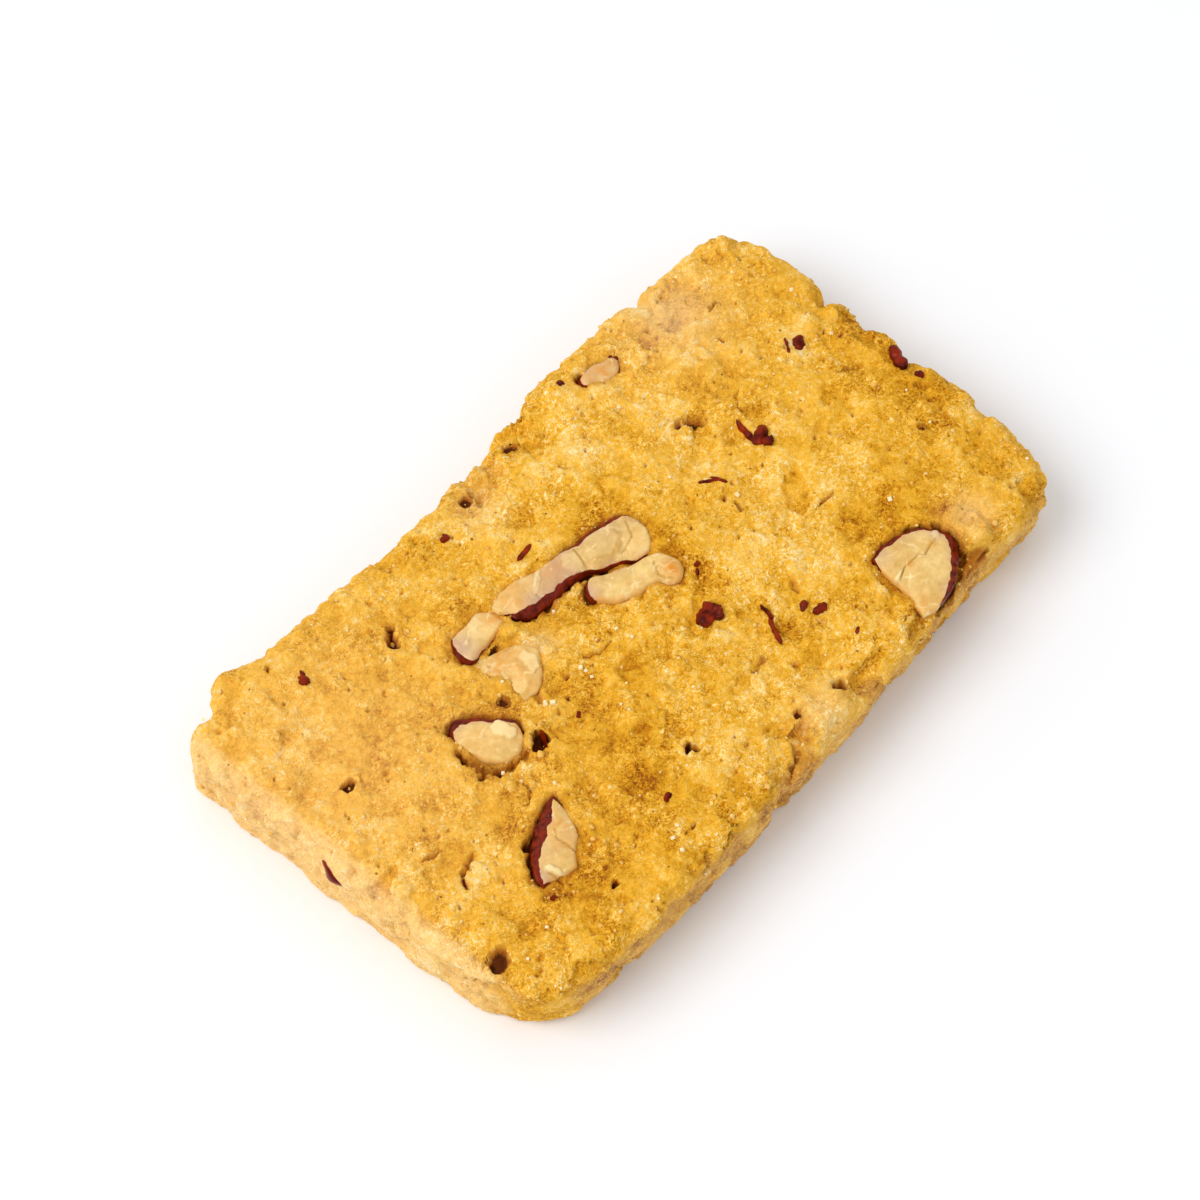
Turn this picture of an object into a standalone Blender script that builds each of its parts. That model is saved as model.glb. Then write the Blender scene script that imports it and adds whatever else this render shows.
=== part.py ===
"""An almond shortbread bar: a baked slab of crumbly dough with cut almonds in its top.

The dough is one solid. Each almond piece as large as a berry is a solid of its own, sunk in a pocket
of the dough, and the small flakes of almond skin are fused to the dough.
Lengths are in millimetres up to the last step of each mesh, which turns them to metres.
X runs along the bar, Y across it, Z up, and the origin is under the middle of the bar.
"""
import math

import bmesh
import bpy
from mathutils import Vector, noise

MM = 0.001

# The slab
LENGTH = 72.4
WIDTH = 43.2
HEIGHT = 9.1
MIDDLE_Y = -0.65            # middle of the straight sides, as the bulged corner stands out past them
TOP_ROUND = 2.2             # radius of the edge round the top face
BOTTOM_ROUND = 1.0          # radius of the edge round the underside
CORNER_ROUND = {(-1, -1): 7.4, (1, -1): 5.4, (1, 1): 4.2, (-1, 1): 3.2}
LEAN = 1.5                  # how far the near side draws in at its foot
CENTRE_SHIFT = (-0.07, -0.05, 0.0)    # brings the middle of the finished bar over the origin
CELL = 1.2                  # side of one square of the top face
WALL_STEPS = 4              # rings of faces down the upright part of a side
WALL_BUMPS = (2.8, 0.28)    # unevenness of the sides: its size and its height

# The sides fall in (-) and swell out (+): place along the side, reach, amount outward
FAR_SIDE = [(-33.5, 2.5, -0.45), (-29.3, 2.3, 1.45), (-14.0, 12.0, -0.28), (-5.6, 8.5, -1.2), (2.8, 2.4, -0.7),
            (9.0, 7.0, 0.2), (24.0, 1.2, -1.15), (31.5, 4.2, -0.95)]
NEAR_SIDE = [(-33.0, 8.0, -0.8), (-15.0, 4.0, 0.15), (-8.5, 5.0, 0.25), (-4.8, 1.0, -0.4), (11.0, 3.0, -0.15),
             (25.0, 13.0, -0.85)]
LEFT_END = [(19.3, 2.6, 0.35), (12.0, 3.5, 0.45), (1.5, 5.0, 0.2), (-9.0, 4.0, 0.05), (-16.5, 2.9, -0.8)]
RIGHT_END = [(-17.8, 4.5, -0.75), (-2.6, 0.9, -0.95), (1.0, 1.0, 0.2), (2.4, 0.8, -0.4), (5.3, 1.1, 0.7),
             (7.0, 0.9, -1.1), (12.5, 4.5, 0.25), (18.5, 2.4, -0.3)]

# The top face is uneven: place, reach and rise (+) or fall (-)
SWELLS = [
    (-5.6, -8.5, 4.5, 0.45), (-16.1, -15.6, 4.0, 0.40), (-26.0, 2.0, 4.5, 0.35), (8.0, 8.5, 6.0, 0.35),
    (24.0, 12.0, 5.0, 0.30), (27.0, -6.0, 5.5, 0.35), (12.0, -8.5, 4.0, 0.25), (-29.3, 17.5, 3.2, 0.35),
    (25.4, -16.6, 1.8, 0.55), (1.9, -19.4, 1.7, 0.50), (-0.8, -20.2, 1.3, 0.35),
    (-31.7, 9.1, 3.0, -0.55), (-27.7, 12.9, 2.4, -0.35), (-11.7, -4.1, 2.6, -0.50), (-20.6, -4.0, 2.0, -0.45),
    (5.1, 18.6, 3.2, -0.75), (-1.4, 17.4, 2.3, -0.85), (-3.6, -20.6, 2.1, -0.95), (4.8, -18.6, 1.6, -0.60),
    (7.5, -21.5, 2.2, -0.70), (28.0, 17.6, 3.6, -0.45), (31.5, -1.5, 2.4, -0.35), (-8.6, 15.0, 3.2, -0.30),
    (34.5, -20.5, 4.5, -0.9), (-24.0, -17.0, 2.6, -0.25), (15.5, 4.5, 3.0, -0.25), (-33.0, -9.0, 2.6, -0.25),
]
ROLL = (11.0, 0.30)         # broad unevenness of the top: its size and its height
CRAG = (2.6, 0.24)          # crumbly relief, the same
CRAG_EDGE = (1.7, 0.5)     # more of it where the rim broke

# Small holes: place, length, width, angle in degrees, depth
HOLES = [
    (-17.2, 12.8, 2.5, 1.7, 60, 1.6), (-29.1, -6.4, 3.4, 1.0, 8, 1.3), (-30.5, -3.5, 3.2, 1.0, -8, 1.3),
    (-33.2, -14.2, 3.0, 2.2, 40, 1.7), (-30.1, 6.1, 2.2, 1.7, 0, 1.3), (-8.6, -13.7, 2.2, 1.5, 30, 1.3),
    (17.1, 7.5, 3.3, 1.5, -45, 1.4), (4.8, -18.9, 3.9, 2.2, -20, 1.7), (-16.0, -3.7, 2.5, 2.1, 45, 1.6),
    (-22.3, -17.2, 2.0, 1.2, 10, 1.1), (3.3, -4.3, 2.2, 1.2, -30, 1.2), (-15.4, 1.4, 1.4, 1.2, 0, 1.0),
]

# Flakes of skin and small crumbs of almond on the top: place, length, width, angle in degrees, rise
FLAKES = [
    (2.6, -6.6, 1.8, 1.4, -30, 0.50), (19.9, 2.2, 2.0, 1.0, 10, 0.45), (5.7, -11.2, 3.4, 0.8, 70, 0.50),
    (9.3, -13.4, 1.6, 0.8, -20, 0.40), (29.3, 5.6, 1.6, 0.7, 35, 0.35), (33.2, -3.6, 1.8, 1.0, -70, 0.60),
    (15.6, 17.2, 2.9, 1.9, -10, 0.55), (-25.3, 15.7, 1.0, 0.7, 80, 0.35), (-3.1, 9.8, 1.6, 0.5, 5, 0.30),
    (13.1, 2.1, 2.1, 0.6, -50, 0.30), (-31.2, 6.7, 2.1, 1.2, 20, 0.45), (-5.6, -8.5, 1.8, 1.4, -40, 0.35),
]
FLAKE_ROOT = 0.9            # how deep a flake reaches into the dough, so that the union takes it
FLAKE_FLARE = 1.45          # how much wider its root is than its top
HOLE_TAPER = 0.4            # how much of its width a hole keeps at its floor
CONE_LIFT = 1.0             # how far a hole's cutter reaches above the top face
UNEVEN = 0.22               # how uneven the outline of a hole or flake is

# Cut almonds, each as its middle line from tip to tip: X, Y, half of its width there
ALMONDS = {
    "almond_long": [(5.5, 3.7, 0.0), (4.5, 4.1, 1.7), (2.1, 4.9, 2.05), (-1.2, 6.0, 1.65),
                    (-4.2, 6.95, 1.75), (-6.8, 7.1, 1.7), (-8.4, 6.9, 0.0)],
    "almond_sliver": [(-2.8, 3.0, 0.0), (-1.9, 2.3, 1.05), (0.9, 0.65, 1.35), (3.0, -0.6, 1.5),
                      (4.3, -1.3, 1.15), (5.1, -2.0, 0.0)],
    "almond_chunk": [(-15.0, 7.0, 0.0), (-13.9, 7.5, 1.45), (-12.1, 7.9, 1.5), (-10.3, 7.7, 1.2), (-9.5, 7.3, 0.0)],
    "almond_pale": [(-14.3, 1.6, 0.0), (-13.4, 1.8, 1.7), (-12.0, 2.0, 2.0), (-10.6, 2.1, 1.6), (-9.5, 2.4, 0.0)],
    "almond_middle": [(-21.2, 2.7, 0.0), (-20.2, 1.5, 1.55), (-19.0, -0.1, 1.95), (-17.9, -1.5, 1.6),
                      (-17.0, -2.7, 0.0)],
    "almond_front": [(-19.8, -7.9, 0.0), (-20.9, -9.2, 1.65), (-22.6, -10.7, 2.15), (-24.5, -12.0, 1.75),
                     (-26.5, -13.0, 0.0)],
    "almond_side": [(18.8, -13.2, 0.0), (19.2, -14.6, 2.9), (19.1, -16.6, 3.6), (18.2, -18.9, 2.9),
                    (16.8, -21.0, 0.0)],
}
ALMOND_SINK = 2.6           # how deep an almond reaches below the top face
ALMOND_CROWN = 0.30         # how far its cut face stands up in the middle
ALMOND_TIP = 0.35           # half of the width of its blunt tips
ALMOND_SIDES = 12
ALMOND_STEP = 1.15          # spacing of its cross-sections
CONE_SIDES = 8              # sides of a hole or a flake
GAP = 0.3                   # clear space between an almond and its pocket
POCKET_LIFT = 4.0           # how far a pocket's cutter reaches above the top face
SQUARENESS = 0.75           # power that fills out an almond's cross-section, 1 being an ellipse
POCKET_SQUARENESS = 0.3     # the same for the upright walls of a pocket

DOUGH_COLOUR = "#E0A648"
DOUGH_ROUGHNESS = 0.8
KERNEL_COLOUR = "#EDC98A"
KERNEL_ROUGHNESS = 0.5


def linear_colour(hex_colour):
    """Turn an sRGB hex colour to the linear colour that a shader takes."""
    channels = [int(hex_colour[i:i + 2], 16) / 255 for i in (1, 3, 5)]
    linear = [c / 12.92 if c <= 0.04045 else ((c + 0.055) / 1.055) ** 2.4 for c in channels]
    return (*linear, 1.0)


def make_material(name, hex_colour, roughness):
    material = bpy.data.materials.new(name)
    material.use_nodes = True
    shader = material.node_tree.nodes["Principled BSDF"]
    shader.inputs["Base Color"].default_value = linear_colour(hex_colour)
    shader.inputs["Roughness"].default_value = roughness
    shader.inputs["Metallic"].default_value = 0.0
    material.diffuse_color = linear_colour(hex_colour)
    return material


def smooth_step(low, high, value):
    t = min(max((value - low) / (high - low), 0.0), 1.0)
    return t * t * (3 - 2 * t)


def bell_sum(rows, place):
    return sum(amount * math.exp(-((place - centre) / reach) ** 2) for centre, reach, amount in rows)


def plan_point(u, v, inset):
    """Point of the slab's plan: u and v run from -1 to 1, and inset draws the outline in."""
    half_x = LENGTH / 2 - inset
    half_y = WIDTH / 2 - inset
    corner = CORNER_ROUND[(1 if u > 0 else -1, 1 if v > 0 else -1)] - inset
    x = u * half_x
    y = v * half_y
    past_x = abs(x) - (half_x - corner)
    past_y = abs(y) - (half_y - corner)
    if past_x > 0 and past_y > 0:
        scale = max(past_x, past_y) / math.hypot(past_x, past_y)
        x = math.copysign(half_x - corner + past_x * scale, x)
        y = math.copysign(half_y - corner + past_y * scale, y)
    return x, y


def draw_sides(x, y, z):
    """Move a point of the straight slab with the sides' own swells, dents and lean."""
    low = 1 - z / HEIGHT
    far = smooth_step(0.5, 1.0, 2 * y / WIDTH)
    near = smooth_step(0.5, 1.0, -2 * y / WIDTH)
    right = smooth_step(0.7, 1.0, 2 * x / LENGTH)
    left = smooth_step(0.7, 1.0, -2 * x / LENGTH)
    across = y + MIDDLE_Y
    moved_x = x + right * bell_sum(RIGHT_END, across) - left * bell_sum(LEFT_END, across)
    moved_y = across + far * bell_sum(FAR_SIDE, x) - near * (bell_sum(NEAR_SIDE, x) - LEAN * max(low, 0.0))
    return moved_x, moved_y


def relief(x, y):
    """Rise or fall of the top face at a place."""
    swell = sum(rise * math.exp(-((x - cx) ** 2 + (y - cy) ** 2) / reach ** 2) for cx, cy, reach, rise in SWELLS)
    rim = max(abs(x) - LENGTH / 2 + 6, abs(y - MIDDLE_Y) - WIDTH / 2 + 5)
    crumbly = smooth_step(0.0, 4.0, rim)
    place = Vector((x, y, 0.0))
    crag = CRAG[1] * noise.noise(place / CRAG[0])
    crag_edge = crumbly * CRAG_EDGE[1] * noise.noise(place / CRAG_EDGE[0] + Vector((7.0, 3.0, 1.0)))
    return swell + ROLL[1] * noise.noise(place / ROLL[0]) + crag + crag_edge


def surface_height(x, y):
    """Height of the top face, which falls away to its rounded edge."""
    inward = min(LENGTH / 2 - abs(x), WIDTH / 2 - abs(y - MIDDLE_Y))
    short = max(TOP_ROUND - inward, 0.0)
    drop = TOP_ROUND - math.sqrt(max(TOP_ROUND ** 2 - short ** 2, 0.0))
    return HEIGHT + relief(x, y) - drop


def edge_profile():
    """Steps down the side from the top face to the underside: inset and height."""
    steps = []
    for degrees in (0, 25, 50, 72, 90):
        angle = math.radians(degrees)
        steps.append((TOP_ROUND * (1 - math.sin(angle)), HEIGHT - TOP_ROUND * (1 - math.cos(angle))))
    wall_top = HEIGHT - TOP_ROUND
    for step in range(1, WALL_STEPS + 1):
        steps.append((0.0, wall_top + (BOTTOM_ROUND - wall_top) * step / WALL_STEPS))
    for degrees in (45, 90):
        angle = math.radians(degrees)
        steps.append((BOTTOM_ROUND * (1 - math.cos(angle)), BOTTOM_ROUND * (1 - math.sin(angle))))
    return steps


def slab_vertex(u, v, inset, z):
    """Finished place of one vertex of the slab."""
    x, y = plan_point(u, v, inset)
    x, y = draw_sides(x, y, z)
    top_share = smooth_step(HEIGHT * 0.55, HEIGHT, z)
    wall_share = smooth_step(0.0, BOTTOM_ROUND, z) * (1 - top_share)
    bump = wall_share * WALL_BUMPS[1] * noise.noise(Vector((x, y, z)) / WALL_BUMPS[0])
    at_end = max(abs(u), abs(v)) == abs(u)
    push = Vector((math.copysign(bump, u), 0.0)) if at_end else Vector((0.0, math.copysign(bump, v)))
    return x + push.x, y + push.y, z + top_share * relief(x, y)


def mesh_object(name, build, material):
    """Make an object whose mesh the build function fills in millimetres."""
    mesh = bpy.data.meshes.new(name)
    shape = bmesh.new()
    build(shape)
    bmesh.ops.recalc_face_normals(shape, faces=shape.faces[:])
    bmesh.ops.triangulate(shape, faces=shape.faces[:])
    bmesh.ops.translate(shape, vec=CENTRE_SHIFT, verts=shape.verts[:])
    bmesh.ops.scale(shape, vec=(MM, MM, MM), verts=shape.verts[:])
    shape.to_mesh(mesh)
    shape.free()
    made = bpy.data.objects.new(name, mesh)
    bpy.context.scene.collection.objects.link(made)
    if material is not None:
        mesh.materials.append(material)
    return made


def build_slab(shape):
    """The plain slab: a grid for the top face, rings down the sides and one face below."""
    columns = round((LENGTH - 2 * TOP_ROUND) / CELL)
    rows = round((WIDTH - 2 * TOP_ROUND) / CELL)
    profile = edge_profile()
    grid = {}
    for i in range(columns + 1):
        for j in range(rows + 1):
            u = 2 * i / columns - 1
            v = 2 * j / rows - 1
            grid[i, j] = shape.verts.new(slab_vertex(u, v, *profile[0]))
    for i in range(columns):
        for j in range(rows):
            shape.faces.new((grid[i, j], grid[i + 1, j], grid[i + 1, j + 1], grid[i, j + 1]))
    rim = [(i, 0) for i in range(columns)] + [(columns, j) for j in range(rows)]
    rim += [(i, rows) for i in range(columns, 0, -1)] + [(0, j) for j in range(rows, 0, -1)]
    ring = [grid[place] for place in rim]
    for inset, z in profile[1:]:
        below = []
        for i, j in rim:
            u = 2 * i / columns - 1
            v = 2 * j / rows - 1
            below.append(shape.verts.new(slab_vertex(u, v, inset, z)))
        for k in range(len(ring)):
            after = (k + 1) % len(ring)
            shape.faces.new((ring[k], below[k], below[after], ring[after]))
        ring = below
    shape.faces.new(ring)


def spine_sections(spine):
    """Even cross-sections along an almond's middle line, on a smooth curve through its rows."""
    rows = [Vector(row) for row in spine]
    rows = [2 * rows[0] - rows[1]] + rows + [2 * rows[-1] - rows[-2]]
    dense = []
    for a, b, c, d in zip(rows, rows[1:], rows[2:], rows[3:]):
        count = max(round((c.xy - b.xy).length / ALMOND_STEP), 1)
        for step in range(count):
            t = step / count
            dense.append(0.5 * ((2 * b) + (c - a) * t + (2 * a - 5 * b + 4 * c - d) * t * t
                                + (3 * b - a - 3 * c + d) * t ** 3))
    dense.append(rows[-2])
    return dense


def build_almond(spine, grow=0.0, cutter=False):
    """A cut almond, rounded below, or with grow the cutter of its pocket."""
    sections = spine_sections(spine)
    start = (sections[0].xy - sections[1].xy).normalized() * grow
    finish = (sections[-1].xy - sections[-2].xy).normalized() * grow

    def build(shape):
        rings = []
        for number, section in enumerate(sections):
            before = sections[max(number - 1, 0)].xy
            after = sections[min(number + 1, len(sections) - 1)].xy
            along = (after - before).normalized()
            across = Vector((-along.y, along.x))
            centre = section.xy.copy()
            if number == 0:
                centre += start
            if number == len(sections) - 1:
                centre += finish
            half = max(section.z, ALMOND_TIP)
            depth = ALMOND_SINK * smooth_step(-1.5, 1.5, half) + grow
            half += grow
            level = surface_height(*centre)
            ring = []
            for k in range(ALMOND_SIDES):
                angle = 2 * math.pi * k / ALMOND_SIDES
                aside = math.cos(angle)
                upward = math.sin(angle)
                place = centre + across * half * math.copysign(abs(aside) ** SQUARENESS, aside)
                if upward < -1e-6:
                    z = level - depth * abs(upward) ** SQUARENESS
                elif cutter:
                    z = level + POCKET_LIFT * abs(upward) ** POCKET_SQUARENESS
                else:
                    z = level + ALMOND_CROWN * abs(upward)
                ring.append(shape.verts.new((place.x, place.y, z)))
            rings.append(ring)
        for one, two in zip(rings, rings[1:]):
            for k in range(ALMOND_SIDES):
                after = (k + 1) % ALMOND_SIDES
                shape.faces.new((one[k], one[after], two[after], two[k]))
        shape.faces.new(rings[0])
        shape.faces.new(rings[-1])

    return build


def build_cone(x, y, length, width, degrees, top, bottom, foot_share):
    """A small irregular cone frustum, for a hole or a flake."""
    turn = math.radians(degrees)

    def build(shape):
        rings = []
        for z, share in ((top, 1.0), (bottom, foot_share)):
            ring = []
            for k in range(CONE_SIDES):
                angle = 2 * math.pi * k / CONE_SIDES
                uneven = 1 + UNEVEN * noise.noise(Vector((x + k * 1.7, y, 0.5)))
                along = 0.5 * length * share * uneven * math.cos(angle)
                across = 0.5 * width * share * uneven * math.sin(angle)
                px = x + along * math.cos(turn) - across * math.sin(turn)
                py = y + along * math.sin(turn) + across * math.cos(turn)
                ring.append(shape.verts.new((px, py, z)))
            rings.append(ring)
        for k in range(CONE_SIDES):
            after = (k + 1) % CONE_SIDES
            shape.faces.new((rings[0][k], rings[0][after], rings[1][after], rings[1][k]))
        shape.faces.new(rings[0])
        shape.faces.new(rings[1])

    return build


def combine(target, tools, operation):
    """Join tools to the target, or cut them out of it, and remove them."""
    group = bpy.data.collections.new("tools")
    bpy.context.scene.collection.children.link(group)
    for tool in tools:
        bpy.context.scene.collection.objects.unlink(tool)
        group.objects.link(tool)
    modifier = target.modifiers.new("combine", "BOOLEAN")
    modifier.operation = operation
    modifier.operand_type = "COLLECTION"
    modifier.collection = group
    modifier.solver = "EXACT"
    bpy.context.view_layer.update()
    result = bpy.data.meshes.new_from_object(target.evaluated_get(bpy.context.evaluated_depsgraph_get()))
    target.modifiers.remove(modifier)
    target.data = result
    for tool in tools:
        bpy.data.objects.remove(tool)
    bpy.data.collections.remove(group)


def make_dough(material):
    dough = mesh_object("dough", build_slab, material)
    flakes = []
    for number, (x, y, length, width, degrees, rise) in enumerate(FLAKES):
        level = surface_height(x, y)
        flake = build_cone(x, y, length, width, degrees, level + rise, level - FLAKE_ROOT, FLAKE_FLARE)
        flakes.append(mesh_object(f"flake_{number}", flake, None))
    combine(dough, flakes, "UNION")
    cutters = []
    for number, (x, y, length, width, degrees, depth) in enumerate(HOLES):
        level = surface_height(x, y)
        hole = build_cone(x, y, length, width, degrees, level + CONE_LIFT, level - depth, HOLE_TAPER)
        cutters.append(mesh_object(f"hole_{number}", hole, None))
    for name, spine in ALMONDS.items():
        cutters.append(mesh_object(f"pocket_{name}", build_almond(spine, GAP, True), None))
    combine(dough, cutters, "DIFFERENCE")
    return dough


def make_almonds(material):
    for name, spine in ALMONDS.items():
        almond = mesh_object(name, build_almond(spine), material)
        almond.data.shade_smooth()
        almond.data.set_sharp_from_angle(angle=math.radians(40))


def clear_scene():
    for thing in list(bpy.data.objects):
        bpy.data.objects.remove(thing)


def main():
    clear_scene()
    make_dough(make_material("baked_dough", DOUGH_COLOUR, DOUGH_ROUGHNESS))
    make_almonds(make_material("almond_kernel", KERNEL_COLOUR, KERNEL_ROUGHNESS))


main()
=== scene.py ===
# %% [markdown]
# An almond shortbread bar, built as a lesson in Blender.
#
# The real object is a slab of buttery dough with cut almonds in it, pressed flat, cut and baked.
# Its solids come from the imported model. This script dresses them: it gives the dough its crumb, holes
# and broken edges, gives each almond its skin and its cut face, and adds the flakes, crumbs and grains.
# All lengths are in millimetres until a mesh is made, when they turn to metres.

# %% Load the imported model
import math

import bmesh
import bpy
import numpy as np
from mathutils import Matrix, Vector, kdtree, noise


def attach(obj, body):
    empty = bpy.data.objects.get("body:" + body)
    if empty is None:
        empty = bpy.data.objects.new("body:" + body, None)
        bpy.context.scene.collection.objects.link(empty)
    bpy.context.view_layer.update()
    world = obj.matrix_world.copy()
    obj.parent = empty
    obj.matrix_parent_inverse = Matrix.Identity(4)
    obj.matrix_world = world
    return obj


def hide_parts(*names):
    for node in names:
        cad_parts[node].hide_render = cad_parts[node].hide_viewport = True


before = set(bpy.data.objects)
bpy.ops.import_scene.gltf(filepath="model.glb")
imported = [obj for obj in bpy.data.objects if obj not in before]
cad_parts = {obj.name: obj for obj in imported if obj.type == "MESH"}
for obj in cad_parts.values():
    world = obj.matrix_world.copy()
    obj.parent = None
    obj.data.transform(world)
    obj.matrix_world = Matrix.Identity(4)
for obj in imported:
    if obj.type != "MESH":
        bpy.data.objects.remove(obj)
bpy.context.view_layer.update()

print("nodes:", sorted(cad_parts))

# %% [markdown]
# The camera looks down on one corner of the bar from far away, so that its lines hardly converge.
# It comes first, because every later step is judged through it. Its place is an angle round the bar,
# an angle above the table and a distance, which is how a photographer would describe it.

# %% Camera
MM = 0.001
CAMERA_TURN = -49.2         # degrees round the bar
CAMERA_RISE = 60.5          # degrees above the table
CAMERA_DISTANCE = 380.0
CAMERA_TARGET = Vector((-0.67, 3.15, 5.0))
CAMERA_LENS = 128.02


def make_camera():
    turn = math.radians(CAMERA_TURN)
    rise = math.radians(CAMERA_RISE)
    back = Vector((math.sin(turn) * math.cos(rise), -math.cos(turn) * math.cos(rise), math.sin(rise)))
    data = bpy.data.cameras.new("camera")
    data.lens = CAMERA_LENS
    data.sensor_width = 36.0
    data.clip_start = 0.01
    data.clip_end = 10.0
    camera = bpy.data.objects.new("camera", data)
    camera.location = (CAMERA_TARGET + back * CAMERA_DISTANCE) * MM
    camera.rotation_mode = "QUATERNION"
    camera.rotation_quaternion = (-back).to_track_quat("-Z", "Y")
    bpy.context.scene.collection.objects.link(camera)
    bpy.context.scene.camera = camera
    return camera


make_camera()
print("camera stands", CAMERA_DISTANCE, "mm from the bar")

# %% [markdown]
# The slab has the same form as its solid, so it is drawn by the same rules: a rounded rectangle, sides
# that swell and dent, and a top that rolls gently. Each swell or dent is a place, a reach and an amount.
# Numpy works on every point at once, which lets the grid be four times as fine as the solid's.

# %% Sizes of the slab
LENGTH = 72.4
WIDTH = 43.2
HEIGHT = 9.1
MIDDLE_Y = -0.65            # middle of the straight sides
TOP_ROUND = 2.2             # radius of the edge round the top face
BOTTOM_ROUND = 1.0          # radius of the edge round the underside
CORNER_ROUND = {(-1, -1): 7.4, (1, -1): 5.4, (1, 1): 4.2, (-1, 1): 3.2}
LEAN = 1.5                  # how far the near side draws in at its foot
CENTRE_SHIFT = (-0.07, -0.05, 0.0)    # brings the middle of the bar over the origin
WALL_BUMPS = (2.8, 0.28)    # unevenness of the sides: its size and its height
ROLL = (11.0, 0.30)         # broad unevenness of the top: its size and its height
CRAG = (2.6, 0.24)          # crumbly relief, the same
CRAG_EDGE = (1.7, 0.5)      # more of it where the rim broke
CRAG_STRIP = (6.0, 5.0)     # how far in from the ends and from the sides that starts
CRAG_FADE = 4.0             # over how many millimetres it comes in

# The sides fall in (-) and swell out (+): place along the side, reach, amount outward
FAR_SIDE = [(-33.5, 2.5, -0.45), (-29.3, 2.3, 1.45), (-14.0, 12.0, -0.28), (-5.6, 8.5, -1.2),
            (2.8, 2.4, -0.7), (9.0, 7.0, 0.2), (24.0, 1.2, -1.15), (31.5, 4.2, -0.95)]
NEAR_SIDE = [(-33.0, 8.0, -0.8), (-15.0, 4.0, 0.15), (-8.5, 5.0, 0.25), (-4.8, 1.0, -0.4),
             (11.0, 3.0, -0.15), (25.0, 13.0, -0.85)]
LEFT_END = [(19.3, 2.6, 0.35), (12.0, 3.5, 0.45), (1.5, 5.0, 0.2), (-9.0, 4.0, 0.05), (-16.5, 2.9, -0.8)]
RIGHT_END = [(-17.8, 4.5, -0.75), (-2.6, 0.9, -0.95), (1.0, 1.0, 0.2), (2.4, 0.8, -0.4), (5.3, 1.1, 0.7),
             (7.0, 0.9, -1.1), (12.5, 4.5, 0.25), (18.5, 2.4, -0.3)]
# The top face is uneven: place, reach, rise (+) or fall (-)
SWELLS = [
    (-5.6, -8.5, 4.5, 0.45), (-16.1, -15.6, 4.0, 0.40), (-26.0, 2.0, 4.5, 0.35), (8.0, 8.5, 6.0, 0.35),
    (24.0, 12.0, 5.0, 0.30), (27.0, -6.0, 5.5, 0.35), (12.0, -8.5, 4.0, 0.25), (-29.3, 17.5, 3.2, 0.35),
    (25.4, -16.6, 1.8, 0.15), (1.9, -19.4, 1.7, 0.50), (-0.8, -20.2, 1.3, 0.35),
    (-31.7, 9.1, 3.0, -0.55), (-27.7, 12.9, 2.4, -0.35), (-11.7, -4.1, 2.6, -0.50),
    (-20.6, -4.0, 2.0, -0.45), (5.1, 18.6, 3.2, -0.75), (-1.4, 17.4, 2.3, -0.85),
    (-3.6, -20.6, 2.1, -0.95), (4.8, -18.6, 1.6, -0.60), (7.5, -21.5, 2.2, -0.70),
    (28.0, 17.6, 3.6, -0.45), (31.5, -1.5, 2.4, -0.35), (-8.6, 15.0, 3.2, -0.30),
    (34.5, -20.5, 4.5, -0.9), (-24.0, -17.0, 2.6, -0.25), (15.5, 4.5, 3.0, -0.25),
    (-33.0, -9.0, 2.6, -0.25),
]
print("slab:", LENGTH, "x", WIDTH, "x", HEIGHT, "mm, with", len(SWELLS), "swells in its top")

# %% [markdown]
# A few small helpers draw nearly everything that follows. A smooth step goes softly from 0 to 1, a sum of
# bells makes soft bumps along a side, and noise wanders from place to place. A baked thing has hardly a
# straight line or a sudden step, so these come back in nearly every later step.

# %% Steps, bells and noise
def smooth_step(low, high, value):
    t = np.clip((value - low) / (high - low), 0.0, 1.0)
    return t * t * (3 - 2 * t)


def bell_sum(rows, place):
    return sum(amount * np.exp(-((place - centre) / reach) ** 2) for centre, reach, amount in rows)


def wander(points, size, shift=(0.0, 0.0, 0.0)):
    """Perlin noise at each point, between about -1 and 1, in lumps of that size."""
    moved = (points / size + np.array(shift)).tolist()
    return np.array([noise.noise(Vector(place)) for place in moved])


def flat_points(x, y):
    return np.stack([x, y, np.zeros_like(x)], axis=1)


print("a smooth step is", smooth_step(0.0, 1.0, 0.25), "a quarter of the way")

# %% [markdown]
# The outline starts as a rectangle with its own radius at each corner, and is pushed in and out along its
# sides. The near side also draws in at its foot, where the knife dragged the dough. A subdivided cube
# could be pulled to the same outline by hand, but numbers can be corrected when the picture asks for it.

# %% Outline of the slab
def plan_points(u, v, inset):
    """Plan of the slab: u and v run from -1 to 1, and inset draws the outline in."""
    half_x = LENGTH / 2 - inset
    half_y = WIDTH / 2 - inset
    right = np.where(v > 0, CORNER_ROUND[1, 1], CORNER_ROUND[1, -1])
    left = np.where(v > 0, CORNER_ROUND[-1, 1], CORNER_ROUND[-1, -1])
    corner = np.where(u > 0, right, left) - inset
    x = u * half_x
    y = v * half_y
    past_x = np.abs(x) - (half_x - corner)
    past_y = np.abs(y) - (half_y - corner)
    in_corner = (past_x > 0) & (past_y > 0)
    scale = np.maximum(past_x, past_y) / np.maximum(np.hypot(past_x, past_y), 1e-9)
    x = np.where(in_corner, np.copysign(half_x - corner + past_x * scale, x), x)
    y = np.where(in_corner, np.copysign(half_y - corner + past_y * scale, y), y)
    return x, y


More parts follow.
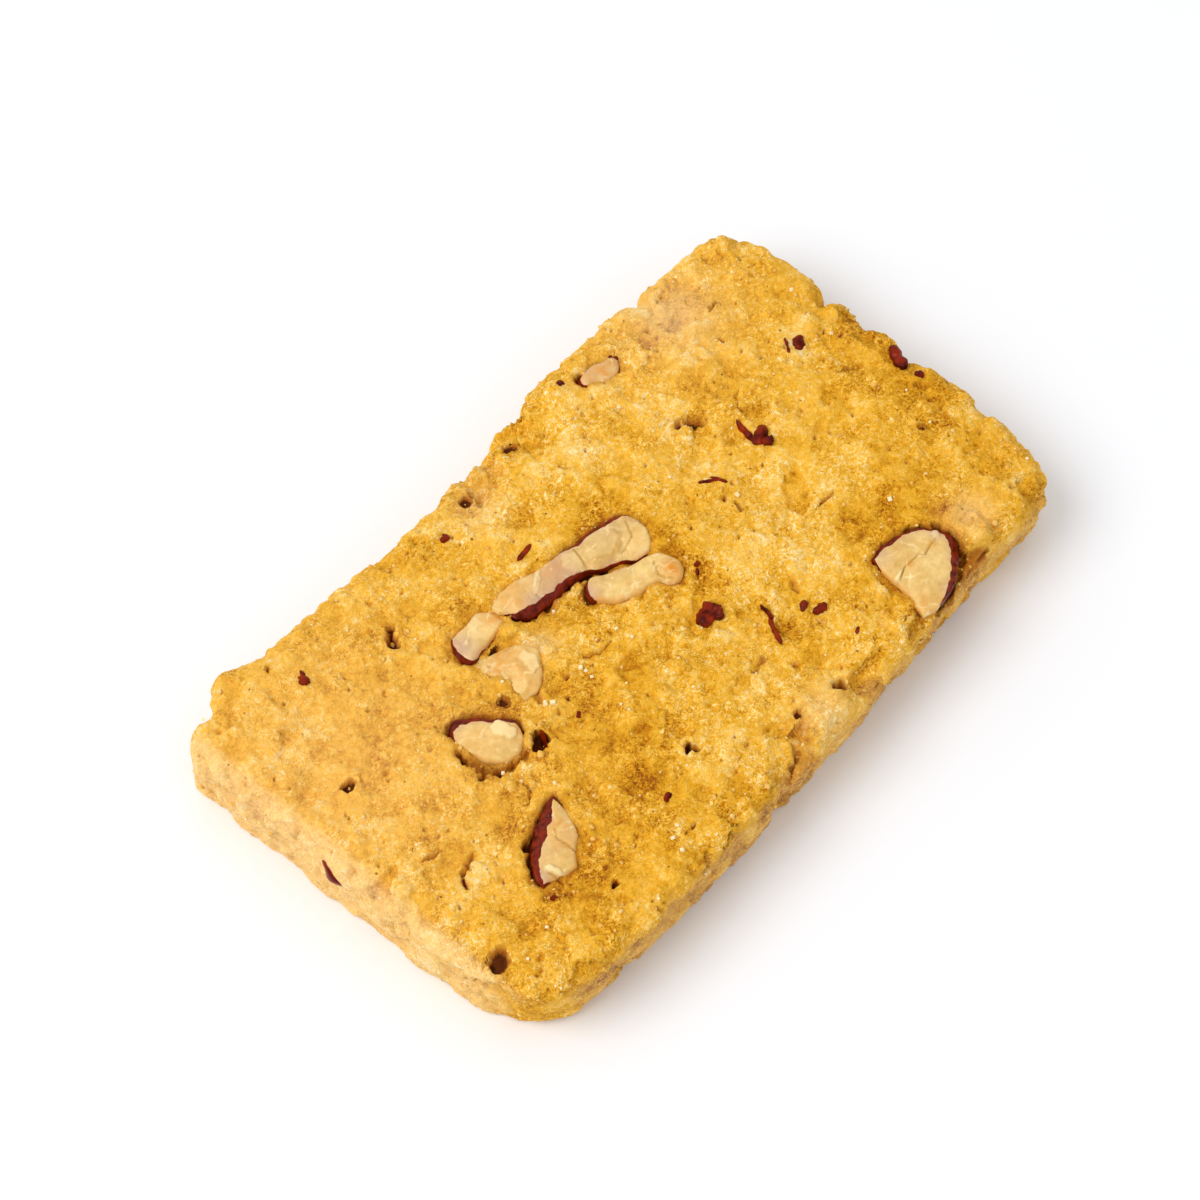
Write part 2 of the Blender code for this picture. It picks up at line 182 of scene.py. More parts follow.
def draw_sides(x, y, z):
    low = np.maximum(1 - z / HEIGHT, 0.0)
    far = smooth_step(0.5, 1.0, 2 * y / WIDTH)
    near = smooth_step(0.5, 1.0, -2 * y / WIDTH)
    right = smooth_step(0.7, 1.0, 2 * x / LENGTH)
    left = smooth_step(0.7, 1.0, -2 * x / LENGTH)
    across = y + MIDDLE_Y
    moved_x = x + right * bell_sum(RIGHT_END, across) - left * bell_sum(LEFT_END, across)
    moved_y = across + far * bell_sum(FAR_SIDE, x) - near * (bell_sum(NEAR_SIDE, x) - LEAN * low)
    return moved_x, moved_y


slab_ends = draw_sides(*plan_points(np.array([-1.0, 1.0]), np.zeros(2), 0.0), HEIGHT)[0]
print("along its middle line the slab is", round(float(slab_ends[1] - slab_ends[0]), 2), "mm long")

# %% [markdown]
# The top is uneven in four ways: swells and falls, a gentle roll, a crumbly relief, and a rougher strip
# round the rim, where the dough broke when it was cut. All of them are heights on a flat top.

# %% Relief of the top
def relief(x, y):
    """Broad rise or fall of the top face."""
    swell = sum(rise * np.exp(-((x - cx) ** 2 + (y - cy) ** 2) / reach ** 2)
                for cx, cy, reach, rise in SWELLS)
    past_end = np.abs(x) - LENGTH / 2 + CRAG_STRIP[0]
    past_side = np.abs(y - MIDDLE_Y) - WIDTH / 2 + CRAG_STRIP[1]
    crumbly = smooth_step(0.0, CRAG_FADE, np.maximum(past_end, past_side))
    places = flat_points(x, y)
    crag = CRAG[1] * wander(places, CRAG[0])
    crag_edge = crumbly * CRAG_EDGE[1] * wander(places, CRAG_EDGE[0], (7.0, 3.0, 1.0))
    return swell + ROLL[1] * wander(places, ROLL[0]) + crag + crag_edge


print("the middle of the top rises by", round(float(relief(np.zeros(1), np.zeros(1))[0]), 2), "mm")

# %% [markdown]
# Baked dough is full of small accidents: gas holes, cracks that opened as it shrank, chips that broke off
# when the bar was cut, and lumps that stand up. Each is described by its outline and its depth, and all
# are added up as one height over the plan. That keeps the dough one closed skin, as the real one is.
# Sculpting by hand would work as well, but numbers can be compared with the photograph and corrected.

# %% Holes and cracks of the dough
# Holes: place, length, width, angle in degrees, depth
HOLES = [
    (-17.2, 12.8, 1.7, 1.1, 60, 1.5), (-16.6, 13.6, 1.0, 0.7, 20, 1.0), (-34.1, -14.4, 2.2, 1.6, 30, 1.5),
    (-30.1, 6.1, 1.3, 0.8, 0, 0.9), (-8.6, -13.7, 1.3, 0.7, 30, 1.1), (-8.3, -14.1, 0.7, 1.3, 30, 0.9),
    (17.1, 7.5, 1.9, 0.8, -49, 1.3), (16.0, 8.2, 1.0, 0.6, 10, 0.9), (5.0, -19.4, 1.6, 1.1, -10, 1.5),
    (-16.3, -3.4, 1.9, 1.5, 60, 1.2), (-22.3, -17.2, 0.9, 0.5, 10, 0.8), (-15.4, 1.5, 0.8, 0.6, 0, 0.8),
    (-14.0, -18.9, 0.7, 0.5, 40, 0.6), (-14.9, -18.8, 0.6, 0.4, 0, 0.5), (8.3, 0.1, 0.8, 0.4, 80, 0.6),
    (-26.6, 19.0, 0.5, 0.4, 0, 0.4), (30.0, -8.6, 0.7, 0.5, 0, 0.5), (12.8, 0.1, 0.6, 0.4, 45, 0.5),
    (-24.6, -9.3, 0.9, 0.6, 20, 0.9), (-22.1, 0.3, 1.4, 0.7, 70, 1.0), (-12.5, 5.2, 0.9, 0.6, 10, 0.7),
    (-2.2, 17.6, 1.0, 0.8, 0, 0.5), (4.6, 18.6, 1.4, 0.9, 0, 0.6), (0.2, -18.6, 0.7, 0.5, 0, 0.5),
    (-20.6, -2.5, 1.2, 0.5, -20, 0.9), (-22.1, -2.0, 0.6, 0.5, 0, 0.6), (33.0, 3.2, 0.6, 0.5, 0, 0.4),
    (22.9, -15.9, 1.0, 0.6, -50, 1.0), (-9.8, -1.1, 0.5, 0.4, 0, 0.5), (-11.5, -2.4, 0.5, 0.4, 0, 0.5),
]
# Cracks: points along each, width, depth
CRACKS = [
    ([(-30.8, -7.9), (-30.1, -6.9), (-28.3, -6.3)], 0.40, 1.1),
    ([(-31.4, -3.5), (-29.9, -3.9)], 0.32, 0.7),
    ([(2.4, -12.9), (1.6, -13.2), (0.8, -13.1)], 0.24, 0.5),
    ([(17.5, -6.7), (18.8, -6.9), (19.6, -6.9)], 0.24, 0.5),
    ([(29.6, 0.8), (30.8, 0.4), (31.8, 0.0)], 0.24, 0.5), ([(10.2, -9.9), (9.6, -11.0)], 0.22, 0.4),
    ([(5.6, 13.3), (5.8, 12.6)], 0.22, 0.5), ([(22.3, 6.3), (21.4, 6.0), (20.8, 4.8)], 0.22, 0.4),
    ([(13.2, -0.8), (13.0, -1.7)], 0.2, 0.4), ([(25.5, 11.7), (25.4, 10.8)], 0.2, 0.4),
    ([(13.3, -20.1), (14.7, -19.8)], 0.24, 0.4),
    ([(-7.5, -1.0), (-6.2, -1.7), (-4.8, -1.8)], 0.24, 0.4),
    ([(-20.0, -4.5), (-20.5, -6.1), (-21.7, -6.9)], 0.22, 0.4),
    ([(27.0, 13.8), (28.4, 14.2)], 0.2, 0.4),
    ([(-2.7, -21.0), (-4.2, -21.6), (-6.2, -22.3)], 0.35, 0.7),
    ([(-25.5, -12.6), (-25.3, -13.2), (-25.1, -13.7)], 0.3, 0.6),
]
print(len(HOLES), "holes and", len(CRACKS), "cracks")

# %% [markdown]
# Chips and lumps have a shape of their own, so each is a closed outline. Most chips lie along the edges,
# where the knife went through, and most lumps are flakes that were lifted or pressed on.

# %% Chips and lumps of the dough
# Chips: outline, depth
CHIPS = [
    ([(-1.2, 18.7), (-1.5, 17.7), (-1.6, 16.4), (-0.6, 16.2), (0.3, 16.5), (0.8, 16.3), (1.1, 17.0),
      (2.2, 16.6), (2.8, 17.5), (3.2, 19.3), (2.6, 21.5), (-1.5, 21.5)], 0.55),
    ([(3.3, 16.6), (4.8, 16.9), (5.6, 16.2), (6.5, 17.1), (7.6, 18.4), (7.9, 21.5), (3.4, 21.5)], 0.35),
    ([(0.2, -19.2), (0.1, -20.1), (-0.9, -21.0), (-1.3, -22.6), (-4.6, -23.4), (-6.0, -23.0),
      (-5.0, -21.7), (-3.2, -20.9), (-2.3, -19.8), (-1.2, -19.3)], 0.75),
    ([(22.3, -19.1), (22.6, -19.6), (23.6, -19.9), (24.4, -20.4), (24.2, -21.6), (20.6, -22.6),
      (19.4, -21.2), (20.6, -20.1), (21.6, -19.6)], 1.0),
    ([(6.3, -19.2), (7.6, -19.9), (9.3, -20.6), (9.0, -22.8), (4.8, -22.8), (5.0, -20.8)], 0.3),
    ([(21.6, 18.6), (24.0, 17.6), (26.4, 18.4), (27.6, 20.6), (22.0, 21.5)], 0.35),
    ([(-21.6, 1.6), (-21.4, 0.5), (-21.2, -0.8), (-20.4, -2.2), (-19.0, -2.8), (-17.6, -2.8),
      (-17.6, -3.6), (-19.9, -3.8), (-20.8, -3.2), (-21.9, -1.6), (-22.7, 0.1), (-22.5, 1.3)], 0.9),
    ([(-13.2, 9.7), (-14.0, 9.8), (-13.9, 8.9), (-11.9, 9.5)], 0.5),
    ([(-10.6, 10.5), (-9.6, 8.6), (-11.3, 9.0)], 0.35),
    ([(-13.5, -0.2), (-13.6, -1.1), (-12.9, -1.3), (-12.2, 0.1)], 0.6),
    ([(-7.6, 5.2), (-6.4, 4.8), (-5.2, 4.6), (-4.4, 4.4), (-4.6, 3.8), (-6.0, 4.0), (-7.6, 4.6)], 0.5),
    ([(-21.0, -0.7), (-20.6, -1.5), (-20.0, -2.4), (-18.9, -2.8), (-19.1, -3.3), (-19.9, -3.3),
      (-20.6, -2.9), (-21.4, -2.3), (-22.0, -1.9)], 0.5),
]
# Lumps and lifted flakes: outline, rise
LUMPS = [
    ([(3.9, -19.3), (3.0, -20.3), (1.9, -20.4), (0.9, -20.5), (-0.2, -20.3), (-1.0, -21.2),
      (-1.1, -22.0), (-0.3, -22.2), (0.9, -22.2), (3.0, -21.9), (4.3, -21.3), (4.6, -20.4)], 0.40),
    ([(23.7, -15.4), (23.3, -17.2), (23.2, -18.2), (22.6, -19.0), (22.7, -19.6), (23.6, -19.9),
      (24.9, -20.2), (26.1, -19.7), (26.2, -18.8), (26.6, -17.6), (25.8, -16.2), (24.5, -15.2)], 0.60),
    ([(15.7, -16.8), (15.5, -18.0), (15.4, -19.4), (14.7, -20.4), (13.4, -21.4), (11.9, -21.2),
      (12.2, -19.3), (13.6, -17.0), (14.6, -15.9)], 0.32),
    ([(15.9, -13.6), (15.8, -15.0), (15.7, -16.3), (14.2, -16.2), (12.6, -17.2), (12.9, -15.2),
      (14.3, -13.4)], 0.20),
    ([(-23.1, -1.9), (-22.1, -2.3), (-21.4, -2.7), (-20.7, -3.5), (-20.7, -4.1), (-20.5, -4.8),
      (-21.3, -5.0), (-22.3, -4.3), (-23.1, -2.9)], 0.32),
    ([(-17.9, -4.2), (-17.3, -3.9), (-16.8, -4.5), (-17.2, -5.1), (-17.9, -5.0)], 0.40),
    ([(-20.1, -4.2), (-19.4, -4.4), (-19.1, -4.9), (-19.4, -5.8), (-20.4, -6.2), (-20.9, -5.3)], 0.34),
    ([(-20.2, -12.0), (-19.7, -12.3), (-19.8, -13.1), (-20.7, -13.5), (-21.0, -12.9)], 0.34),
    ([(-22.0, -13.5), (-21.2, -13.8), (-21.3, -14.6), (-22.2, -15.1), (-22.7, -14.5)], 0.34),
    ([(-28.3, -7.3), (-27.3, -8.4), (-28.0, -9.6), (-29.4, -9.8), (-29.9, -8.5), (-29.4, -7.5)], 0.30),
    ([(-6.6, -7.6), (-5.2, -7.3), (-4.5, -8.4), (-5.2, -9.6), (-6.4, -9.4)], 0.28),
    ([(-31.9, 7.3), (-30.9, 7.2), (-30.3, 6.3), (-30.9, 5.9), (-32.0, 6.4)], 0.35),
    ([(-10.8, 6.3), (-12.5, 6.1), (-14.0, 5.9), (-13.0, 5.2), (-11.0, 4.7), (-9.1, 4.1),
      (-9.2, 6.0)], 0.40),
    ([(-9.9, 3.9), (-7.7, 3.3), (-7.8, 1.2), (-9.9, 1.3), (-9.7, 2.8)], 0.30),
    ([(-20.3, -13.7), (-19.7, -13.8), (-19.8, -14.4), (-20.5, -14.3)], 0.30),
    ([(-20.7, -14.7), (-20.1, -14.8), (-20.2, -15.4), (-20.8, -15.2)], 0.28),
    ([(-11.9, -13.6), (-12.2, -12.1), (-13.6, -12.4), (-13.4, -13.8)], 0.28),
    ([(-3.2, -7.0), (-2.0, -7.4), (-2.4, -9.0), (-3.6, -8.6)], 0.26),
]
print(len(CHIPS), "chips and", len(LUMPS), "lumps")

# %% [markdown]
# To draw a crack, each place needs its distance to a line, and for a chip its distance to an outline,
# positive inside. How often the outline is crossed on the way out tells inside from outside. Only places
# near the shape are asked, which keeps this fast.

# %% Distance to a line and to an outline
def gap_to_line(points, x, y):
    """Distance from each place to a line through points."""
    nearest = np.full(x.shape, 1e9)
    for (ax, ay), (bx, by) in zip(points, points[1:]):
        span = (bx - ax) ** 2 + (by - ay) ** 2
        share = np.clip(((x - ax) * (bx - ax) + (y - ay) * (by - ay)) / max(span, 1e-9), 0.0, 1.0)
        nearest = np.minimum(nearest, np.hypot(x - ax - share * (bx - ax), y - ay - share * (by - ay)))
    return nearest


def depth_inside(outline, x, y):
    """Distance to a closed outline, positive inside it and negative outside."""
    inside = np.zeros(x.shape, dtype=bool)
    for (ax, ay), (bx, by) in zip(outline, outline[1:] + outline[:1]):
        if ay != by:
            crosses = ((ay > y) != (by > y)) & (x < (bx - ax) * (y - ay) / (by - ay) + ax)
            inside ^= crosses
    gap = gap_to_line(outline + outline[:1], x, y)
    return np.where(inside, gap, -gap)


def in_reach(x, y, points, margin):
    """Which places lie near a group of points."""
    xs, ys = zip(*points)
    return ((x > min(xs) - margin) & (x < max(xs) + margin)
            & (y > min(ys) - margin) & (y < max(ys) + margin))


first_lump = LUMPS[0][0]
lump_depth = depth_inside(first_lump, *np.mean(first_lump, axis=0)[:, None])[0]
print("the middle of the first lump lies", round(float(lump_depth), 2), "mm inside its outline")

# %% [markdown]
# The almonds were cut before baking, so each shows a pale cut face with a rim of brown skin. An outline
# with the width of the skin at every point says all of that. The dough needs the outlines too, because
# it has a bed under each almond, so they are set down here and built later.

# %% Outlines of the inner almonds
# Outline from tip to tip and back: x, y, width of the skin that shows. far_tip is the second tip's row.
# Stains are pink and toasts are brown: place, reach, strength. A chip is an outline and its rise.
ALMONDS = {
    "almond_long": {
        "outline": [(5.7, 3.1, 0.0), (5.8, 4.0, 0.05), (5.7, 5.0, 0.1), (5.1, 6.0, 0.4),
                    (4.0, 6.4, 0.5), (2.9, 6.7, 0.5), (1.9, 6.9, 0.5), (0.6, 6.9, 0.45),
                    (-0.5, 7.3, 0.35), (-1.6, 7.5, 0.15), (-2.9, 7.7, 0.0), (-4.0, 7.9, 0.0),
                    (-5.3, 8.5, 0.0), (-6.7, 8.8, 0.0), (-8.2, 8.8, 0.0), (-9.2, 8.4, 0.0),
                    (-9.3, 7.5, 0.0), (-8.7, 6.8, 0.1), (-8.4, 6.0, 0.5), (-7.6, 5.3, 0.65),
                    (-6.5, 5.0, 0.65), (-5.2, 4.8, 0.65), (-4.2, 4.7, 0.65), (-3.2, 4.7, 0.55),
                    (-2.0, 4.5, 0.4), (-1.2, 4.2, 0.25), (-0.5, 3.6, 0.15), (0.3, 3.2, 0.15),
                    (1.2, 2.8, 0.15), (2.0, 2.3, 0.15), (2.7, 1.7, 0.12), (3.5, 1.5, 0.08),
                    (4.3, 1.6, 0.0), (5.0, 2.1, 0.0)],
        "far_tip": 16, "lift": 0.25, "crown": 0.3, "tilt": (0.03, 0.0), "facets": 0.20,
        "cracks": [[(4.9, 4.9), (4.1, 3.5), (2.3, 3.1)], [(-0.2, 6.6), (-0.9, 4.4)],
                   [(-4.3, 8.1), (-4.5, 7.0), (-5.8, 6.2), (-5.9, 5.6)]],
        "chips": [([(-3.3, 7.9), (-4.0, 7.9), (-5.0, 7.2), (-5.9, 6.2), (-5.5, 6.1), (-4.3, 6.9)], 0.18),
                  ([(-1.3, 7.3), (-0.4, 6.3), (-0.9, 4.7), (-1.9, 4.9), (-2.2, 6.2)], 0.08),
                  ([(3.2, 6.3), (0.8, 6.7), (0.0, 4.8), (1.6, 3.6), (3.4, 4.4)], 0.07)],
        "stains": [(-3.2, 6.2, 2.0, 0.9), (-6.6, 5.8, 1.2, 0.8), (3.4, 5.3, 1.6, 0.2)],
        "toasts": [(-7.4, 7.7, 1.7, 0.4), (4.4, 2.6, 1.3, 0.2), (-3.0, 7.0, 1.6, 0.3)],
    },
    "almond_sliver": {
        "outline": [(4.7, -2.0, 0.0), (5.1, -1.2, 0.0), (5.0, -0.2, 0.0), (4.6, 0.7, 0.0),
                    (4.1, 1.2, 0.0), (2.9, 1.6, 0.0), (2.0, 1.9, 0.08), (1.1, 2.4, 0.12),
                    (0.1, 2.8, 0.15), (-0.7, 3.3, 0.2), (-1.4, 3.7, 0.2), (-2.1, 3.6, 0.25),
                    (-2.8, 3.1, 0.3), (-3.0, 2.3, 0.2), (-2.6, 1.5, 0.0), (-1.9, 0.6, 0.0),
                    (-0.8, -0.1, 0.0), (0.1, -0.5, 0.0), (1.1, -0.8, 0.0), (1.9, -1.0, 0.0),
                    (2.5, -1.4, 0.0), (3.0, -2.1, 0.0), (3.9, -2.4, 0.0)],
        "far_tip": 12, "lift": 0.40, "crown": 0.40, "tilt": (0.0, 0.02), "facets": 0.10,
        "cracks": [[(3.4, 0.4), (2.7, -0.7), (2.9, -1.4), (3.4, -2.0)]],
        "chips": [],
        "stains": [(-2.4, 2.4, 0.9, 0.5)], "toasts": [(4.0, -1.2, 0.9, 1.0), (0.8, -0.5, 1.0, 0.3)],
    },
    "almond_chunk": {
        "outline": [(-9.3, 7.6, 0.0), (-9.8, 8.6, 0.0), (-10.7, 9.2, 0.06), (-11.9, 9.0, 0.06),
                    (-13.0, 9.0, 0.12), (-14.0, 9.0, 0.2), (-14.7, 7.8, 0.25), (-14.9, 6.7, 0.3),
                    (-14.5, 5.9, 0.2), (-13.2, 6.0, 0.08), (-11.7, 6.2, 0.0), (-10.4, 6.4, 0.0),
                    (-9.4, 6.6, 0.0)],
        "far_tip": 7, "lift": 0.10, "crown": 0.35, "tilt": (-0.04, -0.03), "facets": 0.24,
        "cracks": [],
        "chips": [([(-11.9, 9.1), (-10.8, 9.2), (-10.9, 7.6), (-12.2, 7.8)], 0.10)],
        "stains": [(-14.0, 7.6, 1.3, 0.9)], "toasts": [(-9.8, 7.6, 1.2, 0.7)],
    },
    "almond_pale": {
        "outline": [(-11.2, 0.6, 0.0), (-10.3, 1.7, 0.0), (-9.6, 2.4, 0.0), (-9.7, 3.6, 0.0),
                    (-11.1, 4.6, 0.0), (-12.6, 5.3, 0.0), (-13.8, 6.0, 0.0), (-14.6, 5.4, 0.0),
                    (-14.4, 3.9, 0.0), (-13.7, 2.4, 0.0), (-14.1, 1.2, 0.0), (-14.3, 0.0, 0.0),
                    (-13.2, -0.2, 0.0), (-12.2, 0.0, 0.0)],
        "far_tip": 6, "lift": 0.05, "crown": 0.15, "tilt": (0.02, -0.03), "facets": 0.30,
        "cracks": [],
        "chips": [([(-11.4, 3.3), (-10.6, 3.4), (-10.2, 2.1), (-10.9, 1.2), (-11.9, 1.1)], 0.16)],
        "stains": [], "toasts": [(-13.6, 4.4, 1.8, 0.45), (-11.0, 4.2, 1.2, 0.3), (-12.4, 1.6, 2.6, 0.22)],
    },
}
print("almonds in the middle of the bar:", sorted(ALMONDS))

# %% [markdown]
# The other four lie further out: one with a chip on it, one upright near the front with its skin along
# one side, one that the knife cut through at the near edge, and a scrap at the far edge.

# %% Outlines of the outer almonds
ALMONDS |= {
    "almond_middle": {
        "outline": [(-17.0, -2.3, 0.0), (-16.4, -1.5, 0.2), (-16.1, -0.7, 0.45), (-16.5, 0.1, 0.55),
                    (-17.2, 0.8, 0.55), (-17.9, 1.8, 0.6), (-18.7, 2.7, 0.7), (-19.5, 3.3, 0.8),
                    (-20.4, 3.3, 0.8), (-21.0, 2.9, 0.5), (-21.2, 2.2, 0.15), (-21.3, 1.4, 0.0),
                    (-21.3, 0.4, 0.0), (-21.1, -0.6, 0.0), (-20.7, -1.6, 0.0), (-20.1, -2.5, 0.0),
                    (-19.3, -2.9, 0.0), (-18.4, -3.0, 0.0), (-17.6, -2.7, 0.0)],
        "far_tip": 9, "lift": 0.15, "crown": 0.35, "tilt": (-0.02, 0.01), "facets": 0.06,
        "cracks": [],
        "chips": [([(-18.4, 0.4), (-18.7, -0.3), (-18.3, -0.9), (-18.1, -1.7), (-17.5, -1.8),
                    (-16.9, -1.4), (-17.0, -0.1), (-17.2, 0.8)], 0.24)],
        "stains": [(-20.3, 2.6, 0.7, 0.5)], "toasts": [(-16.8, -1.6, 1.0, 0.7), (-20.0, 0.4, 1.6, 0.22)],
    },
    "almond_front": {
        "outline": [(-19.5, -7.9, 0.7), (-19.7, -8.7, 0.3), (-19.95, -9.7, 0.05), (-20.3, -10.7, 0.0),
                    (-20.75, -11.6, 0.0), (-21.4, -12.3, 0.0), (-22.3, -12.8, 0.0), (-23.3, -13.8, 0.0),
                    (-24.2, -13.8, 0.0), (-25.0, -13.4, 0.0), (-25.9, -13.1, 0.05), (-26.7, -13.0, 0.2),
                    (-26.6, -12.0, 0.5), (-26.1, -11.2, 0.7), (-25.6, -10.6, 0.85), (-24.3, -9.4, 1.1),
                    (-23.3, -8.8, 1.25), (-22.4, -8.4, 1.2), (-21.5, -8.1, 1.0), (-20.4, -7.8, 0.8)],
        "far_tip": 11, "lift": 0.3, "crown": 0.45, "tilt": (0.0, 0.02), "facets": 0.06,
        "cracks": [[(-22.1, -10.3), (-22.7, -11.0), (-22.6, -11.4), (-22.5, -11.9), (-22.4, -12.9)],
                   [(-25.5, -12.6), (-25.3, -13.2), (-25.1, -13.7)]],
        "chips": [([(-22.1, -10.3), (-22.7, -11.0), (-22.5, -11.9), (-22.4, -12.9), (-20.6, -12.4),
                    (-20.0, -10.4)], 0.07),
                  ([(-25.4, -11.8), (-24.8, -12.1), (-24.6, -13.0), (-24.8, -13.9), (-25.1, -13.6),
                    (-25.3, -12.8), (-25.6, -12.2)], 0.25)],
        "stains": [(-26.3, -12.4, 0.8, 0.9), (-24.0, -10.9, 1.3, 0.25)],
        "toasts": [(-21.4, -11.4, 2.2, 0.45)],
    },
    "almond_side": {
        "outline": [(16.4, -13.8, 0.3), (17.9, -13.6, 0.45), (18.9, -13.8, 0.45), (19.8, -14.0, 0.4),
                    (21.2, -14.5, 0.4), (22.0, -15.1, 0.4), (22.7, -16.2, 0.45), (23.1, -17.0, 0.6),
                    (23.1, -17.9, 0.8), (22.6, -18.7, 0.9), (21.9, -19.4, 0.8), (21.0, -19.9, 0.6),
                    (20.1, -20.5, 0.5), (18.9, -21.0, 0.35), (17.8, -21.2, 0.2), (16.9, -21.3, 0.05),
                    (15.9, -21.2, 0.0), (14.9, -20.9, 0.0), (15.1, -20.2, 0.0), (15.4, -19.4, 0.0),
                    (15.6, -18.3, 0.0), (15.8, -17.3, 0.0), (15.9, -16.4, 0.0), (16.1, -15.1, 0.05)],
        "far_tip": 17, "lift": 0.15, "crown": 0.30, "tilt": (-0.02, 0.0), "facets": 0.05,
        "cracks": [[(21.9, -16.8), (20.8, -16.9), (19.7, -17.2), (19.4, -16.7), (18.5, -16.7),
                     (17.6, -16.6), (17.1, -16.8), (16.0, -17.2)]],
        "chips": [([(16.0, -16.6), (17.4, -16.5), (17.1, -16.8), (15.9, -17.4)], 0.22),
                  ([(19.3, -16.6), (19.9, -16.9), (19.6, -17.4), (19.0, -17.1)], 0.12),
                  ([(22.4, -15.9), (22.7, -16.5), (21.9, -17.0), (21.6, -16.6)], 0.14)],
        "stains": [(17.2, -14.6, 0.9, 0.35), (22.1, -16.5, 0.5, 0.8)],
        "toasts": [(18.2, -16.7, 0.35, 0.7), (21.0, -16.9, 0.35, 0.5), (16.0, -20.0, 1.0, 0.3)],
    },
    "almond_edge": {
        "outline": [(17.8, 16.8, 0.1), (17.7, 17.5, 0.1), (17.0, 18.0, 0.0), (16.0, 18.4, 0.0),
                    (14.8, 18.5, 0.1), (13.7, 18.3, 0.3), (13.6, 17.4, 0.15), (14.4, 16.5, 0.0),
                    (15.7, 16.0, 0.0), (16.9, 16.1, 0.0)],
        "far_tip": 5, "lift": -0.12, "crown": 0.25, "tilt": (0.0, -0.06), "facets": 0.20,
        "cracks": [], "chips": [],
        "stains": [(15.6, 17.3, 2.0, 0.5)], "toasts": [(15.8, 17.0, 2.0, 0.45)],
    },
}
print("all cut almonds:", len(ALMONDS))

# %% [markdown]
# Where a chip broke off the dough is lower, and where a flake lifted it is higher, each with a steep
# side. Both kinds of place are rough and a little paler, so how broken a place is gets noted as well.

# %% Height of chips and lumps
CHIP_SIDE = (-0.05, 0.30)   # where the side of a chip starts and ends, measured inward from its outline
LUMP_SIDE = (-0.05, 0.35)


def add_chips_and_lumps(x, y, ragged_x, ragged_y, height, broken, shade):
    for outline, depth in CHIPS:
        near = in_reach(x, y, outline, 1.0)
        inside = smooth_step(*CHIP_SIDE, depth_inside(outline, ragged_x[near], ragged_y[near]))
        height[near] -= inside * depth
        broken[near] = np.maximum(broken[near], inside)
        # Painted shade: a deep chip is darkened, and the deeper it is, the darker
        shade[near] = np.maximum(shade[near], 0.9 * max(depth - 0.4, 0.0) * inside)
    for outline, rise in LUMPS:
        near = in_reach(x, y, outline, 1.0)
        inside = smooth_step(*LUMP_SIDE, depth_inside(outline, ragged_x[near], ragged_y[near]))
        height[near] += inside * rise
        broken[near] = np.maximum(broken[near], 0.7 * inside)


print("deepest chip:", max(depth for outline, depth in CHIPS), "mm")

# %% [markdown]
# A gas hole is an ellipse with steep sides and a low lip, where the dough was pushed up. A crack is a line
# with a width. Both are noted as shade, because light hardly gets in and the crumb inside is browner.

# %% Depth of holes and cracks
HOLE_SIDE = (1.12, 0.78)    # where the side of a hole starts and ends, in shares of its radius
HOLE_LIP = (1.6, 0.35, 0.10)    # lip round a hole: place and width in shares of its radius, and height
CRACK_SIDE = (0.8, 0.2)     # where the side of a crack starts and ends, in shares of its width


def add_holes_and_cracks(x, y, ragged_x, ragged_y, height, shade):
    for cx, cy, length, width, degrees, depth in HOLES:
        near = in_reach(x, y, [(cx, cy)], length + 0.5)
        turn = math.radians(degrees)
        dx = ragged_x[near] - cx
        dy = ragged_y[near] - cy
        along = (dx * math.cos(turn) + dy * math.sin(turn)) / (0.5 * length)
        across = (dy * math.cos(turn) - dx * math.sin(turn)) / (0.5 * width)
        away = np.hypot(along, across)
        inside = smooth_step(*HOLE_SIDE, away)
        height[near] -= inside * depth
        height[near] += HOLE_LIP[2] * np.exp(-((away - HOLE_LIP[0]) / HOLE_LIP[1]) ** 2)
        shade[near] = np.maximum(shade[near], inside)
    for points, width, depth in CRACKS:
        near = in_reach(x, y, points, 1.0)
        gap = gap_to_line(points, ragged_x[near], ragged_y[near])
        inside = smooth_step(CRACK_SIDE[0] * width, CRACK_SIDE[1] * width, gap)
        height[near] -= inside * depth
        shade[near] = np.maximum(shade[near], 0.6 * inside)


print("deepest hole:", max(row[-1] for row in HOLES), "mm")

# %% [markdown]
# Under each almond the dough drops into a bed, and a groove runs round it, because the dough drew back
# from the kernel in the oven. The bed starts a little inside the outline, unevenly, so dough creeps over
# the pale edges. Along an edge with skin it starts further out, because skin comes away cleanly.

# %% Beds of the almonds
BED_DEPTH = 1.1             # how far the dough drops under an almond
BED_RIM = 0.35              # width of the bed's side
BED_CREEP = (0.9, 0.45, 0.20)    # how dough creeps over a kernel: size and height of its unevenness, mean
BED_CLEAR = (1.2, 0.34)     # how much less along an edge with skin: per millimetre of skin, and at most
GROOVE = (0.40, 0.30)       # gap round an almond: its width and its depth


def skin_near(rows, x, y):
    """Width of an almond's skin at the part of its outline that is nearest."""
    total = np.zeros_like(x)
    weights = np.zeros_like(x)
    for px, py, skin in rows:
        weight = 1 / ((x - px) ** 2 + (y - py) ** 2 + 0.02) ** 2
        total += weight * skin
        weights += weight
    return total / weights


